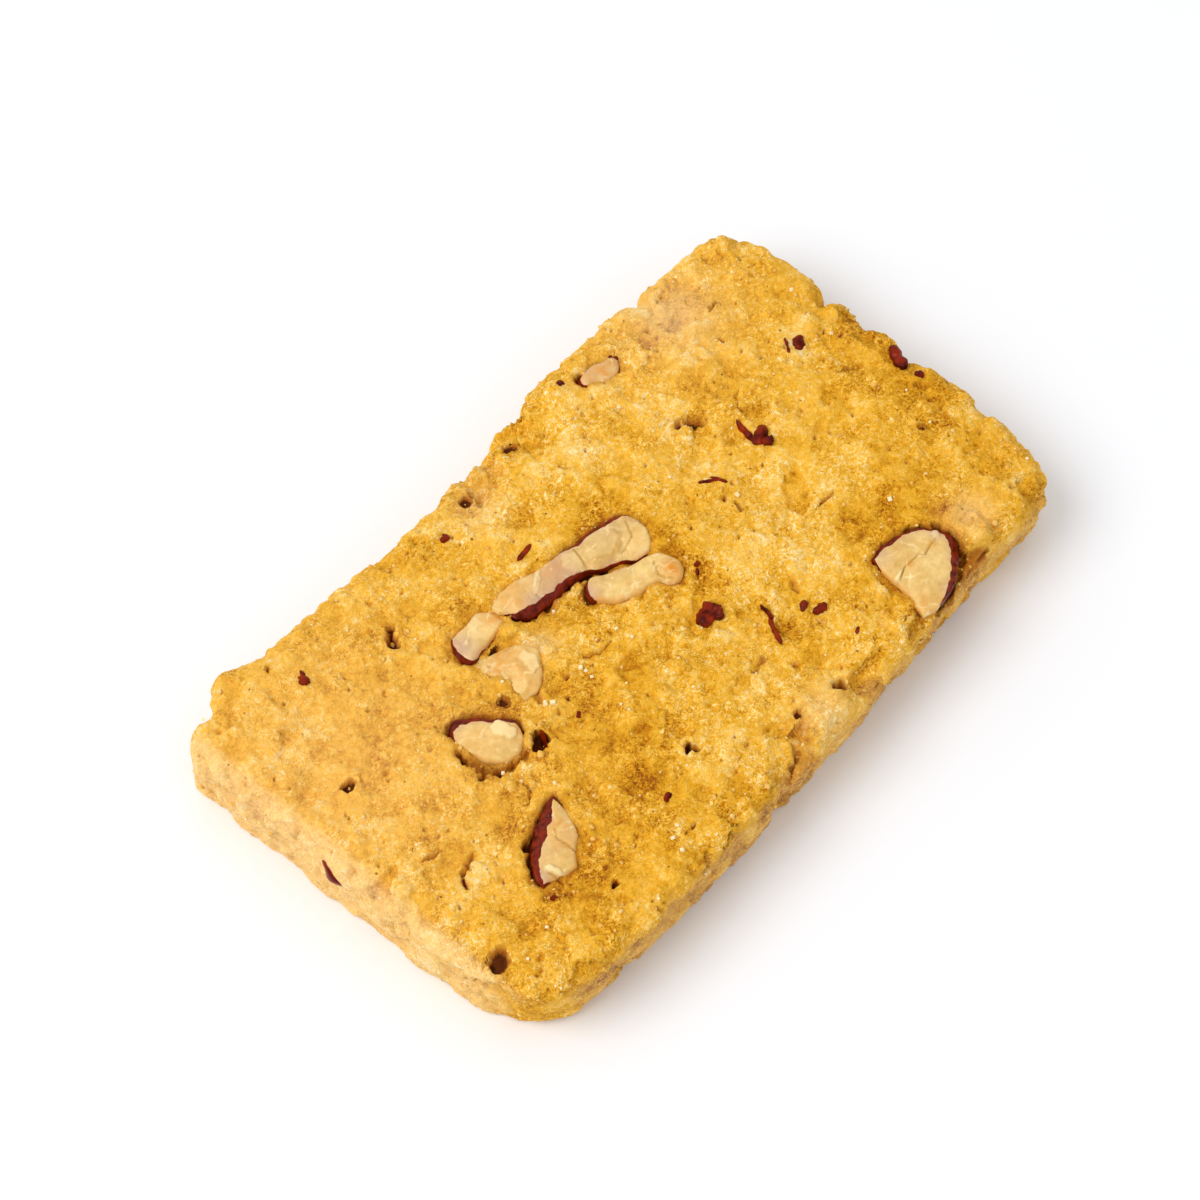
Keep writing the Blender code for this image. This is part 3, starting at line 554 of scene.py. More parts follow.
def add_beds(x, y, height, shade):
    places = flat_points(x, y)
    for almond in ALMONDS.values():
        outline = [(px, py) for px, py, skin in almond["outline"]]
        near = in_reach(x, y, outline, 1.0)
        inside = depth_inside(outline, x[near], y[near])
        skin = skin_near(almond["outline"], x[near], y[near])
        creep = BED_CREEP[1] * wander(places[near], BED_CREEP[0], (1.0, 6.0, 4.0))
        overlap = inside - creep - BED_CREEP[2] + np.minimum(BED_CLEAR[0] * skin, BED_CLEAR[1])
        height[near] -= BED_DEPTH * smooth_step(0.0, BED_RIM, overlap)
        height[near] -= GROOVE[1] * np.minimum(0.35 + 2 * skin, 1.0) * np.exp(-(inside / GROOVE[0]) ** 2)
        # Painted shade: the dough round an almond is darkened, most beside skin, as contact shade
        dark = np.minimum(0.22 + 1.3 * skin, 0.8) * np.exp(-((inside - 0.05) / 0.40) ** 2)
        shade[near] = np.maximum(shade[near], dark)


long_row = ALMONDS["almond_long"]["outline"]
middle_skin = skin_near(long_row, np.zeros(1), np.zeros(1))[0]
print("skin beside the middle of almond_long:", round(float(middle_skin), 2), "mm wide")

# %% [markdown]
# Now the heights are added up. The edges of a chip or a lump are made ragged by moving each place a
# little with noise before its distance is measured, which is a cheap way to break up a straight line.

# %% Small features of the top
RAGGED = (0.7, 0.22)        # raggedness of broken edges: its size and its height


def top_details(x, y):
    """Height of the small features of the top, with how broken each place is and how much painted shade it
    gets.
    """
    places = flat_points(x, y)
    ragged_x = x + RAGGED[1] * wander(places, RAGGED[0], (3.0, 9.0, 2.0))
    ragged_y = y + RAGGED[1] * wander(places, RAGGED[0], (5.0, 1.0, 8.0))
    height = np.zeros_like(x)
    broken = np.zeros_like(x)
    shade = np.zeros_like(x)
    add_chips_and_lumps(x, y, ragged_x, ragged_y, height, broken, shade)
    add_holes_and_cracks(x, y, ragged_x, ragged_y, height, shade)
    add_beds(x, y, height, shade)
    return height, broken, shade


middle_height = top_details(np.full(1, -12.0), np.full(1, 2.0))[0][0]
print("the bed of almond_pale lies at", round(float(middle_height), 2), "mm")

# %% [markdown]
# The dough is a grid: one sheet for the top, then rings down the sides, and one face below. A grid keeps
# every cell about a quarter of a millimetre wide, fine enough for single crumbs. The rings follow the
# edge's round, then the wall, then the round at the foot.

# %% Steps down the side
FINE = 0.22                 # side of one cell
FINE_WALL = 0.30            # height of a cell of the sides


def edge_profile():
    """Steps down the side from the top face to the underside: inset and height."""
    steps = []
    for degrees in np.linspace(0, 90, round(math.pi / 2 * TOP_ROUND / FINE) + 1):
        angle = math.radians(degrees)
        steps.append((TOP_ROUND * (1 - math.sin(angle)), HEIGHT - TOP_ROUND * (1 - math.cos(angle))))
    wall_top = HEIGHT - TOP_ROUND
    for z in np.linspace(wall_top, BOTTOM_ROUND, round((wall_top - BOTTOM_ROUND) / FINE_WALL) + 1)[1:]:
        steps.append((0.0, z))
    for degrees in np.linspace(0, 90, round(math.pi / 2 * BOTTOM_ROUND / FINE_WALL) + 1)[1:]:
        angle = math.radians(degrees)
        steps.append((BOTTOM_ROUND * (1 - math.cos(angle)), BOTTOM_ROUND * (1 - math.sin(angle))))
    return steps


profile = edge_profile()
print("steps down the side:", len(profile))

# %% [markdown]
# Sharp details need smaller cells. Rather than a finer grid everywhere, the grid is drawn together round
# the places that have them, and stays even elsewhere.

# %% Grid of the top
# Places where the grid is drawn together: x, y, reach
CROWDED = [(-17.0, 13.1, 1.8), (-29.5, -6.9, 2.0), (-30.6, -3.6, 1.4), (-34.0, -14.3, 2.2),
           (-30.8, 6.4, 1.7), (-8.6, -13.8, 1.5), (16.8, 7.8, 2.2), (4.9, -19.4, 2.2),
           (-16.2, -3.6, 1.8), (-22.3, -17.2, 1.2), (0.2, 17.4, 3.0), (-1.4, -20.8, 2.8),
           (18.6, -6.9, 1.6), (23.4, -18.8, 2.8), (-20.4, -2.6, 1.5)]
CROWDING = 0.42             # how strongly, 0 being not at all

columns = round((LENGTH - 2 * TOP_ROUND) / FINE)
rows = round((WIDTH - 2 * TOP_ROUND) / FINE)
top_u, top_v = np.meshgrid(np.linspace(-1, 1, columns + 1), np.linspace(-1, 1, rows + 1), indexing="ij")
pull_u = np.zeros_like(top_u)
pull_v = np.zeros_like(top_v)
for cx, cy, reach in CROWDED:
    from_u = top_u - 2 * cx / LENGTH
    from_v = top_v - 2 * (cy - MIDDLE_Y) / WIDTH
    near = CROWDING * np.exp(-((from_u * LENGTH / 2) ** 2 + (from_v * WIDTH / 2) ** 2) / reach ** 2)
    pull_u += near * from_u
    pull_v += near * from_v
top_u = top_u - pull_u * (1 - top_u ** 16)
top_v = top_v - pull_v * (1 - top_v ** 16)
print("grid of the top:", columns, "by", rows, "cells")

# %% [markdown]
# Each ring down the side repeats the rim of the top, further out and lower. The points and the faces are
# kept as lists of numbers until they are complete, because that is far quicker than adding them one by one.

# %% Rings down the sides
top_number = np.arange((columns + 1) * (rows + 1)).reshape(columns + 1, rows + 1)
ring_top = np.concatenate([top_number[:-1, 0], top_number[-1, :-1],
                           top_number[:0:-1, -1], top_number[0, :0:-1]])
ring_length = len(ring_top)

grid_u = [top_u.ravel()]
grid_v = [top_v.ravel()]
grid_inset = [np.full(top_u.size, profile[0][0])]
grid_z = [np.full(top_u.size, profile[0][1])]
for inset, z in profile[1:]:
    grid_u.append(top_u.ravel()[ring_top])
    grid_v.append(top_v.ravel()[ring_top])
    grid_inset.append(np.full(ring_length, inset))
    grid_z.append(np.full(ring_length, z))
grid_u = np.concatenate(grid_u)
grid_v = np.concatenate(grid_v)
grid_inset = np.concatenate(grid_inset)
grid_z = np.concatenate(grid_z)

top_quads = np.stack([top_number[:-1, :-1], top_number[1:, :-1],
                      top_number[1:, 1:], top_number[:-1, 1:]], axis=-1)
quads = [top_quads.reshape(-1, 4)]
upper = ring_top
for step in range(len(profile) - 1):
    lower = top_u.size + step * ring_length + np.arange(ring_length)
    quads.append(np.stack([upper, lower, np.roll(lower, -1), np.roll(upper, -1)], axis=-1))
    upper = lower
quads = np.concatenate(quads)
underside = upper[::-1]
print("dough grid:", len(grid_u), "points,", len(quads), "cells")

# %% [markdown]
# The grid only says how the points are joined. Here they get their places: the outline, the relief and
# the small features of the top, and bumps that push the sides in and out. The features fade out below the
# top, so the sides keep their own form.

# %% Points of the dough
x, y = plan_points(grid_u, grid_v, grid_inset)
x, y = draw_sides(x, y, grid_z)
places = np.stack([x, y, grid_z], axis=1)
top_share = smooth_step(HEIGHT * 0.55, HEIGHT, grid_z)
wall_share = smooth_step(0.0, BOTTOM_ROUND, grid_z) * (1 - top_share)
bump = wall_share * WALL_BUMPS[1] * wander(places, WALL_BUMPS[0])
at_end = np.abs(grid_u) >= np.abs(grid_v)
details, broken, shade = top_details(x, y)
height = grid_z + top_share * (relief(x, y) + details)
dough_points = np.stack([
    x + np.where(at_end, np.copysign(bump, grid_u), 0.0),
    y + np.where(at_end, 0.0, np.copysign(bump, grid_v)),
    height,
], axis=1)
broken = broken * top_share
shade = shade * top_share
print("dough is", np.round(dough_points.max(axis=0) - dough_points.min(axis=0), 2), "mm")

# %% [markdown]
# A piece is made from its points and faces in one place, so that every piece gets its slot, its body and
# its metres in the same way. Numbers that belong to the points, such as how browned the dough is there,
# are kept on the mesh as attributes, and the materials read them.

# %% Making a piece
def make_piece(name, points, faces, material, stands_for=(), values=None, smooth=True):
    """A mesh object from points in millimetres, riding on the bar."""
    mesh = bpy.data.meshes.new(name)
    mesh.from_pydata(((points + np.array(CENTRE_SHIFT)) * MM).tolist(), [], [list(face) for face in faces])
    mesh.update()
    if smooth:
        mesh.shade_smooth()
    for label, amounts in (values or {}).items():
        attribute = mesh.attributes.new(label, "FLOAT", "POINT")
        attribute.data.foreach_set("value", np.asarray(amounts, dtype=np.float32))
    mesh.materials.append(material)
    piece = bpy.data.objects.new(name, mesh)
    bpy.context.scene.collection.objects.link(piece)
    for node in stands_for:
        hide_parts(node)
    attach(piece, "root")
    top = round(float(points[:, 2].max()), 2)
    print(name, "has", len(mesh.vertices), "points and", len(mesh.polygons), "faces, up to", top, "mm")
    return piece


print("solids that will be replaced:", len(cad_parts))

# %% [markdown]
# Materials are node trees. Every colour is written as an sRGB hex value, as a paint chart gives it, and
# one function turns it to the linear light that shaders work in. One small function adds a node with its
# settings and its links, so that a whole material reads as a list.

# %% Colour and nodes
def linear(hex_colour):
    channels = [int(hex_colour[i:i + 2], 16) / 255 for i in (1, 3, 5)]
    return (*[c / 12.92 if c <= 0.04045 else ((c + 0.055) / 1.055) ** 2.4 for c in channels], 1.0)


def add_node(material, kind, settings=None, inputs=None, output=None):
    """Add a node, give it its settings, fill or link its inputs, and return one of its outputs."""
    node = material.node_tree.nodes.new(kind)
    for name, value in (settings or {}).items():
        setattr(node, name, value)
    for name, value in (inputs or {}).items():
        if isinstance(name, str):
            socket = next(s for s in node.inputs if s.name == name and s.enabled)
        else:
            socket = node.inputs[name]
        if isinstance(value, bpy.types.NodeSocket):
            material.node_tree.links.new(value, socket)
        else:
            socket.default_value = value
    if output is not None:
        return node.outputs[output]
    return next((s for s in node.outputs if s.enabled), None)


def new_material(name):
    material = bpy.data.materials.new(name)
    material.use_nodes = True
    material.node_tree.nodes.clear()
    return material


def finish_material(material, shader):
    add_node(material, "ShaderNodeOutputMaterial", None, {"Surface": shader})
    print("material", material.name, "has", len(material.node_tree.nodes), "nodes")


def per_metre(millimetres):
    """Scale of a texture whose pattern repeats about every so many millimetres."""
    return 1 / (millimetres * MM)


print("middle grey, linear:", round(linear("#808080")[0], 3))

# %% [markdown]
# Shortbread is flour, butter and sugar, pressed and baked. Its colour comes from the butter and from
# browning, so it drifts over centimetres, while single grains of flour and sugar change it over tenths of
# a millimetre. All its tones, from a crack to a grain of flour, lie on one scale from brown to cream, so
# one number at each point of the mesh says how browned the dough is there.

# %% Colours of the dough
# Tones of baked dough, from a crack to a grain of flour: place on a scale from 0 to 1, and colour
DOUGH_TONES = [(0.0, "#8A4406"), (0.20, "#BE7C0C"), (0.34, "#D89A1C"), (0.46, "#E6AA2A"), (0.57, "#EFB53C"),
               (0.68, "#F6C45A"), (0.80, "#FAD37E"), (0.96, "#FEE6B0")]
SHORTBREAD_PEACH = "#F8BE74"
SHORTBREAD_FLOURY = "#F8E2BE"
# Painted shade: orange-brown and nearly black, for holes, cracks and other hollows
SHORTBREAD_HOLE_SHADE = "#B4661A"
SHORTBREAD_DEEP_SHADE = "#4A1606"
SHORTBREAD_PINHOLE_SHADE = "#6E3A10"
BROAD_PATCH = 4.5           # millimetres between patches of browning
CRUMB_SIZE = 1.2
GRAIN_SIZE = 0.38           # real flour grains are finer and would not show
THREAD_SIZE = 0.8           # pale threads of fat and flour between the crumbs
PINHOLE_SPACING = 1.8
FLOUR_ROUGHNESS = 0.75      # dry baked flour is matt, 0.7 to 0.9
FLOUR_IOR = 1.46
print("tones of the dough:", len(DOUGH_TONES), "from", DOUGH_TONES[0][1], "to", DOUGH_TONES[-1][1])

# %% [markdown]
# Four patterns lie over each other: patches of browning, crumbs, grains and thin pale threads. A thread is
# where a noise passes its middle value, which draws a line instead of a spot. Noise fits better than a
# cell pattern here, because dough has no cells.

# %% Patterns of the dough
def dough_patterns(m, at):
    """Noise for patches, crumbs and grains, and the ridges of the threads."""
    broad = add_node(m, "ShaderNodeTexNoise", None,
                     {"Vector": at, "Scale": per_metre(BROAD_PATCH), "Detail": 3.0})
    crumb = add_node(m, "ShaderNodeTexNoise", None,
                     {"Vector": at, "Scale": per_metre(CRUMB_SIZE), "Detail": 4.0,
                      "Roughness": 0.65, "Distortion": 0.6})
    grain = add_node(m, "ShaderNodeTexNoise", None,
                     {"Vector": at, "Scale": per_metre(GRAIN_SIZE), "Detail": 2.0,
                      "Roughness": 0.6, "Distortion": 1.2})
    thread = add_node(m, "ShaderNodeTexNoise", None,
                      {"Vector": at, "Scale": per_metre(THREAD_SIZE), "Detail": 1.0,
                       "Roughness": 0.5, "Distortion": 1.6})
    fold = add_node(m, "ShaderNodeMath", {"operation": "SUBTRACT"}, {0: thread, 1: 0.5})
    fold = add_node(m, "ShaderNodeMath", {"operation": "ABSOLUTE"}, {0: fold})
    ridge = add_node(m, "ShaderNodeMapRange", None, {"Value": fold, "From Min": 0.05, "From Max": 0.0})
    return broad, crumb, grain, ridge


print("grains repeat every", GRAIN_SIZE, "mm, crumbs every", CRUMB_SIZE, "mm")

# %% [markdown]
# Each pattern swings the tone up and down, and the scale of tones turns the sum into a colour. Grains and
# threads swing more where the attribute "coarse" is high, because some places are smooth and some sandy.

# %% Tone of the dough
def dough_tone(m, broad, crumb, grain, ridge):
    """Colour from the tone attribute, with a swing from each pattern."""
    tone = add_node(m, "ShaderNodeAttribute", {"attribute_name": "tone"}, output="Fac")
    coarse = add_node(m, "ShaderNodeAttribute", {"attribute_name": "coarse"}, output="Fac")
    # Pattern, its usual lowest and highest value, how far it swings the tone
    for texture, low, high, strength in ((broad, 0.3, 0.7, 0.20), (crumb, 0.3, 0.7, 0.26),
                                         (grain, 0.32, 0.68, 0.36), (ridge, 0.0, 1.0, 0.28)):
        swing = add_node(m, "ShaderNodeMapRange", None, {
            "Value": texture, "From Min": low, "From Max": high,
            "To Min": -strength / 2, "To Max": strength / 2})
        if texture in (grain, ridge):
            swing = add_node(m, "ShaderNodeMath", {"operation": "MULTIPLY"}, {0: swing, 1: coarse})
        tone = add_node(m, "ShaderNodeMath", {"operation": "ADD"}, {0: tone, 1: swing})
    colour = add_node(m, "ShaderNodeValToRGB", None, {"Fac": tone}, "Color")
    ramp = colour.node.color_ramp.elements
    for number, (place, tint) in enumerate(DOUGH_TONES):
        stop = ramp[number] if number < 2 else ramp.new(place)
        stop.position = place
        stop.color = linear(tint)
    return colour


print("tones at", [place for place, tint in DOUGH_TONES])

# %% [markdown]
# Some colours don't lie on that scale: a peachy cast, dry flour, the dark dot of a pinhole, which is painted
# shade, and the painted shade inside a hole, a crack or another hollow. That shade is orange-brown, because
# dough lets a little light through, and nearly black where it is deepest. They are mixed over the tones,
# each where an attribute or a pattern of dots asks for it.

# %% Stains of the dough, and painted shade of its pinholes and holes
def dough_colour(m, at, grain, colour):
    # The floury colour also paints light on the left end and shade on the near side
    for label, tint in (("peachy", SHORTBREAD_PEACH), ("floury_and_painted_walls", SHORTBREAD_FLOURY)):
        amount = add_node(m, "ShaderNodeAttribute", {"attribute_name": label}, output="Fac")
        share = add_node(m, "ShaderNodeMath", {"operation": "MULTIPLY"}, {0: amount, 1: 0.5})
        colour = add_node(m, "ShaderNodeMix", {"data_type": "RGBA"},
                          {"Factor": share, "A": colour, "B": linear(tint)})
    # Painted shade: dark dots where pinholes would hold shadow
    dots = add_node(m, "ShaderNodeTexVoronoi", None, {"Vector": at, "Scale": per_metre(PINHOLE_SPACING)})
    uneven = add_node(m, "ShaderNodeMath", {"operation": "MULTIPLY_ADD"}, {0: grain, 1: 0.16, 2: dots})
    share = add_node(m, "ShaderNodeMapRange", None,
                     {"Value": uneven, "From Min": 0.16, "From Max": 0.11, "To Max": 0.8})
    colour = add_node(m, "ShaderNodeMix", {"data_type": "RGBA"},
                      {"Factor": share, "A": colour, "B": linear(SHORTBREAD_PINHOLE_SHADE)})
    # Painted shade: where the attribute shade is high the dough turns orange-brown, and nearly black where
    # it is highest
    deep = add_node(m, "ShaderNodeAttribute", {"attribute_name": "shade"}, output="Fac")
    share = add_node(m, "ShaderNodeMapRange", None, {"Value": deep, "From Max": 0.6, "To Max": 0.8})
    colour = add_node(m, "ShaderNodeMix", {"data_type": "RGBA"},
                      {"Factor": share, "A": colour, "B": linear(SHORTBREAD_HOLE_SHADE)})
    share = add_node(m, "ShaderNodeMapRange", None,
                     {"Value": deep, "From Min": 0.7, "From Max": 1.0, "To Max": 0.9})
    return add_node(m, "ShaderNodeMix", {"data_type": "RGBA"},
                    {"Factor": share, "A": colour, "B": linear(SHORTBREAD_DEEP_SHADE)})


print("pinholes repeat every", PINHOLE_SPACING, "mm")

# %% [markdown]
# Dry dough is matt, with a weak reflection, and light goes a little way into it, which softens its shadows
# to orange. The same patterns raise fine bumps, so that a grain is both seen and lit. The reflection is one
# value for the whole piece, so it is set directly on the shader.

# %% Shortbread
def make_shortbread():
    m = new_material("shortbread")
    at = add_node(m, "ShaderNodeTexCoord", output="Object")
    broad, crumb, grain, ridge = dough_patterns(m, at)
    colour = dough_tone(m, broad, crumb, grain, ridge)
    colour = dough_colour(m, at, grain, colour)
    bumps = add_node(m, "ShaderNodeMath", {"operation": "MULTIPLY_ADD"}, {0: ridge, 1: 0.5, 2: grain})
    bumps = add_node(m, "ShaderNodeMath", {"operation": "MULTIPLY_ADD"}, {0: crumb, 1: 1.2, 2: bumps})
    normal = add_node(m, "ShaderNodeBump", None, {"Height": bumps, "Strength": 0.8, "Distance": 0.10 * MM})
    shader = add_node(m, "ShaderNodeBsdfPrincipled", None, {
        "Base Color": colour, "Roughness": FLOUR_ROUGHNESS, "IOR": FLOUR_IOR, "Normal": normal,
        "Subsurface Weight": 0.10, "Subsurface Radius": (1.0, 0.45, 0.15), "Subsurface Scale": 0.6 * MM,
        "Specular IOR Level": 0.12})
    finish_material(m, shader)
    return m


shortbread = make_shortbread()

# %% [markdown]
# The dough is now displaced along its own normals, as if crumbs had been pushed out of it. That takes
# three helpers: the normals of the sheet, random dots found quickly with a tree of their places, and
# plates, which are the cells of a broken surface with a random level each.

# %% Dots and plates
SEED = 7
random = np.random.default_rng(SEED)


def tree_of(places):
    """A tree that quickly finds the nearest of many places."""
    tree = kdtree.KDTree(len(places))
    for number, place in enumerate(places.tolist()):
        tree.insert(place, number)
    tree.balance()
    return tree


def mesh_normals(points, faces):
    mesh = bpy.data.meshes.new("for_normals")
    mesh.from_pydata(points.tolist(), [], faces.tolist())
    normals = np.empty(len(points) * 3, dtype=np.float32)
    mesh.vertex_normals.foreach_get("vector", normals)
    bpy.data.meshes.remove(mesh)
    return normals.reshape(-1, 3).astype(float)


def scatter_bells(points, count, low, high):
    """How near each point is to one of many random places, 1 at its middle and 0 outside its radius."""
    picked = random.choice(len(points), count, replace=False)
    radius = random.uniform(low, high, count)
    tree = tree_of(points[picked])
    share = np.zeros(len(points))
    for number, place in enumerate(points.tolist()):
        found, which, away = tree.find(place)
        share[number] = max(1 - away / radius[which], 0.0)
    return share


def plates(points, size):
    """A random level for each plate of a broken surface."""
    levels = []
    for place in (points / size).tolist():
        distances, corners = noise.voronoi(Vector(place))
        levels.append(noise.noise(corners[0] * 3.7))
    return np.array(levels)


normals = mesh_normals(dough_points, quads)
print("normals point up in", round(float((normals[:, 2] > 0.5).mean()), 2), "of the points")

# %% [markdown]
# Broad lumps come first, then smaller ones, each with less height. Over them lie flaky plates with sharp
# borders, as a cut through cold dough leaves them, and of the largest plates some stand up and some broke
# out. The plates are found from places that noise has moved, so their borders aren't straight.

# %% Lumps and plates of the crumb
CRUMB_LUMPS = [(4.5, 0.36), (2.2, 0.28), (1.1, 0.17), (0.6, 0.10)]      # size and height of each layer
PLATES = [(3.2, 0.20), (1.7, 0.17), (0.8, 0.11)]    # flaky plates with sharp borders: their size and step
FLAKE_SIZE = 2.2            # slabs of crumb that stand up or broke out
FLAKE_LEVEL = 0.30          # plates whose noise is above this stand up, and below minus this they broke out

crumb_height = sum(size_height[1] * wander(dough_points, size_height[0], (number * 5.0, 2.0, 0.0))
                   for number, size_height in enumerate(CRUMB_LUMPS))
rag = np.stack([wander(dough_points, 0.7, (4.0 * k, 1.0, 3.0)) for k in range(3)], axis=1)
ragged_points = dough_points + 0.25 * rag
plate_height = sum(step * plates(ragged_points, size) for size, step in PLATES)
slabs = plates(ragged_points, FLAKE_SIZE)
flakes_up = smooth_step(FLAKE_LEVEL, FLAKE_LEVEL + 0.03, slabs)
pits = smooth_step(-FLAKE_LEVEL, -FLAKE_LEVEL - 0.05, slabs)
print("flaked up:", round(float(flakes_up.mean()), 3), "pitted:", round(float(pits.mean()), 3))

# %% [markdown]
# The layers are added up. Broken places and the rim are rougher than the rest. Random pinholes go in and
# grains stand out, and nothing stands out more than a third of a millimetre. The displacement fades out
# at the table, where the bar lay flat.

# %% Crumb of the dough
PINHOLES = 260
PINHOLE_DEPTH = 0.45
GRAINS = 2600
GRAIN_HEIGHT = 0.07
FLAKE_STEP = (0.14, 0.22)   # how far a plate stands up, and how deep a pit is
RIM_STRIP = 3.0             # width of the rougher strip along the rim
CRUMB_LIMIT = 0.32          # the crumb stands out no further than this
CRUMB_FADE = 0.8            # height above the table over which the crumb comes in

to_rim = np.minimum(LENGTH / 2 - np.abs(x), WIDTH / 2 - np.abs(y))
rough = 1 + 0.9 * broken + 0.5 * smooth_step(RIM_STRIP, 0.0, to_rim)
pin = scatter_bells(ragged_points, PINHOLES, 0.20, 0.40)
grains = scatter_bells(ragged_points, GRAINS, 0.25, 0.50)
offset = rough * (crumb_height + plate_height + FLAKE_STEP[0] * flakes_up - FLAKE_STEP[1] * pits)
offset = offset + GRAIN_HEIGHT * smooth_step(0.0, 0.9, grains)
offset = np.where(offset > 0, CRUMB_LIMIT * np.tanh(offset / CRUMB_LIMIT), offset)
offset = offset - PINHOLE_DEPTH * smooth_step(0.0, 0.8, pin)
offset *= smooth_step(0.0, CRUMB_FADE, dough_points[:, 2])
dough_points += normals * offset[:, None]
# Painted shade: the pinholes are also darkened through the shade attribute
shade = np.maximum(shade, 0.55 * smooth_step(0.3, 1.0, pin))
print("crumb moves the dough by", round(float(offset.min()), 2), "to", round(float(offset.max()), 2), "mm")

# %% [markdown]
# The near side has a few slits and one shallow groove, where the knife dragged a piece of almond along.
# The highest lumps of the top are pressed flatter, as a sheet of paper and a hand leave them.

# %% Marks of the sides
# Start, end, width, depth
WALL_MARKS = [((24.5, -20.7, 7.4), (23.6, -20.7, 6.9), 0.34, 0.6),
              ((23.3, -20.8, 6.2), (23.1, -20.8, 5.6), 0.32, 0.6),
              ((13.5, -20.9, 8.4), (12.6, -21.2, 8.8), 0.32, 0.5),
              ((-2.2, -20.8, 7.9), (-5.3, -21.0, 4.6), 0.55, 0.4)]
SOFT_TOP = 9.65             # lumps are pressed flatter above this height
SOFT_RANGE = 0.30           # and end no further above it than this

for start, end, width, depth in WALL_MARKS:
    span = np.array(end) - np.array(start)
    along = np.clip((ragged_points - np.array(start)) @ span / (span @ span), 0.0, 1.0)
    away = np.linalg.norm(ragged_points - np.array(start) - along[:, None] * span, axis=1)
    inside = smooth_step(width, 0.3 * width, away)
    dough_points -= normals * (depth * inside)[:, None]
    # Painted shade: the slits and the groove are darkened as well
    shade = np.maximum(shade, 1.4 * depth * inside)
over = np.maximum(dough_points[:, 2] - SOFT_TOP, 0.0)
dough_points[:, 2] += SOFT_RANGE * np.tanh(over / SOFT_RANGE) - over
print("the top of the dough is", round(float(dough_points[:, 2].max()), 2), "mm high")

# %% [markdown]
# Browning is not even. One corner is peachy, and the top is darker in some places and creamier in others:
# partly real browning, partly painted shade in hollows and beside the almonds and painted light on lumps.
# The left end, on the lamp's side, is painted paler and floury as painted light, and the near side, turned
# from the lamp, is painted browner and a little floury as painted shade. Soft spots with a place, a reach
# and an amount are enough for that. Higher crumb, plates and lifted plates are painted paler and pits
# darker, which is painted light and shade.

# %% Tones of the dough
PEACHY = [(-30.0, 8.0, 14.0, 0.65), (24.0, 17.0, 8.0, 0.4), (24.8, -17.6, 2.2, 0.6)]
TOASTED_AND_SHADED = [(22.0, -20.4, 1.6, 0.8), (-10.0, -6.0, 7.0, 0.35), (34.0, 2.0, 9.0, 0.25),
           (20.0, -23.0, 7.0, 0.4), (32.5, -5.5, 4.5, 0.5), (-29.5, -13.0, 3.0, 0.3),
           (6.0, 18.6, 2.4, 0.3), (2.8, 7.6, 2.4, 0.7), (6.0, 1.0, 3.2, 0.65), (-1.5, 2.0, 2.6, 0.2),
           (21.2, -14.0, 3.4, 1.0), (24.4, -15.6, 1.4, 0.6), (-21.5, -9.0, 3.4, 0.7),
           (-24.6, -13.6, 3.2, 0.8), (-13.0, -14.6, 3.4, 0.85), (-20.4, -1.0, 3.4, 0.6),
           (-11.0, 10.4, 2.4, 0.7), (-15.6, 5.5, 2.0, 0.2), (14.2, 1.3, 1.8, 0.3),
           (-5.6, 3.6, 2.6, 0.2), (21.4, 7.4, 2.2, 0.4), (20.3, 1.3, 2.0, 0.3), (-3.2, -3.6, 2.2, 0.5),
           (-12.6, -7.4, 2.6, 0.35), (14.8, -13.2, 2.2, 0.5), (18.3, -10.4, 2.5, 0.3),
           (29.6, -16.4, 2.0, 0.3), (-24.0, 11.4, 4.0, 0.25), (-26.0, -18.4, 3.0, 0.45),
           (-18.0, -18.4, 4.0, 0.3), (-34.4, -19.4, 3.0, 0.45)]
PALE_AND_LIT = [(-34.0, -8.0, 8.0, 0.4), (24.0, 12.0, 6.0, 0.3), (9.0, 14.8, 5.0, 0.8), (-2.5, 14.8, 4.0, 0.5),
        (13.0, 6.0, 3.8, 0.7), (12.8, -4.2, 3.4, 0.9), (12.3, -10.5, 2.4, 0.9), (-6.4, -16.4, 3.4, 1.0),
        (-10.6, 2.6, 3.2, 0.9), (17.0, -2.0, 2.6, 0.4), (25.0, -3.0, 3.6, 0.4), (1.6, 15.8, 3.0, 0.4),
        (-4.2, -10.2, 4.2, 0.6), (-0.4, -15.9, 2.4, 0.4), (1.9, -20.0, 2.6, 0.6), (31.8, -19.4, 2.5, 0.8),
        (-28.6, -8.8, 2.2, 0.5), (-8.0, 13.2, 3.6, 0.3), (13.8, -18.4, 2.0, 0.7), (25.4, -17.8, 2.0, 0.9),
        (29.5, 4.5, 5.0, 0.5), (0.6, -10.0, 2.6, 0.4), (-32.0, -17.6, 2.5, 0.4), (-30.4, 12.8, 3.4, 0.9),
        (-16.0, 10.9, 2.2, 0.7), (-18.0, 4.6, 1.8, 0.5), (-8.8, 2.6, 1.3, 0.8)]
FLOURY = [(24.6, 16.5, 3.4, 0.5), (1.9, -20.4, 2.4, 0.4), (26.0, -17.5, 1.8, 0.35),
          (-2.0, 16.5, 2.5, 0.3), (-8.8, 2.6, 1.3, 0.35)]


def spots(points, table):
    total = sum(amount * np.exp(-((points[:, 0] - cx) ** 2 + (points[:, 1] - cy) ** 2) / reach ** 2)
                for cx, cy, reach, amount in table)
    return np.clip(total, 0.0, 1.0)


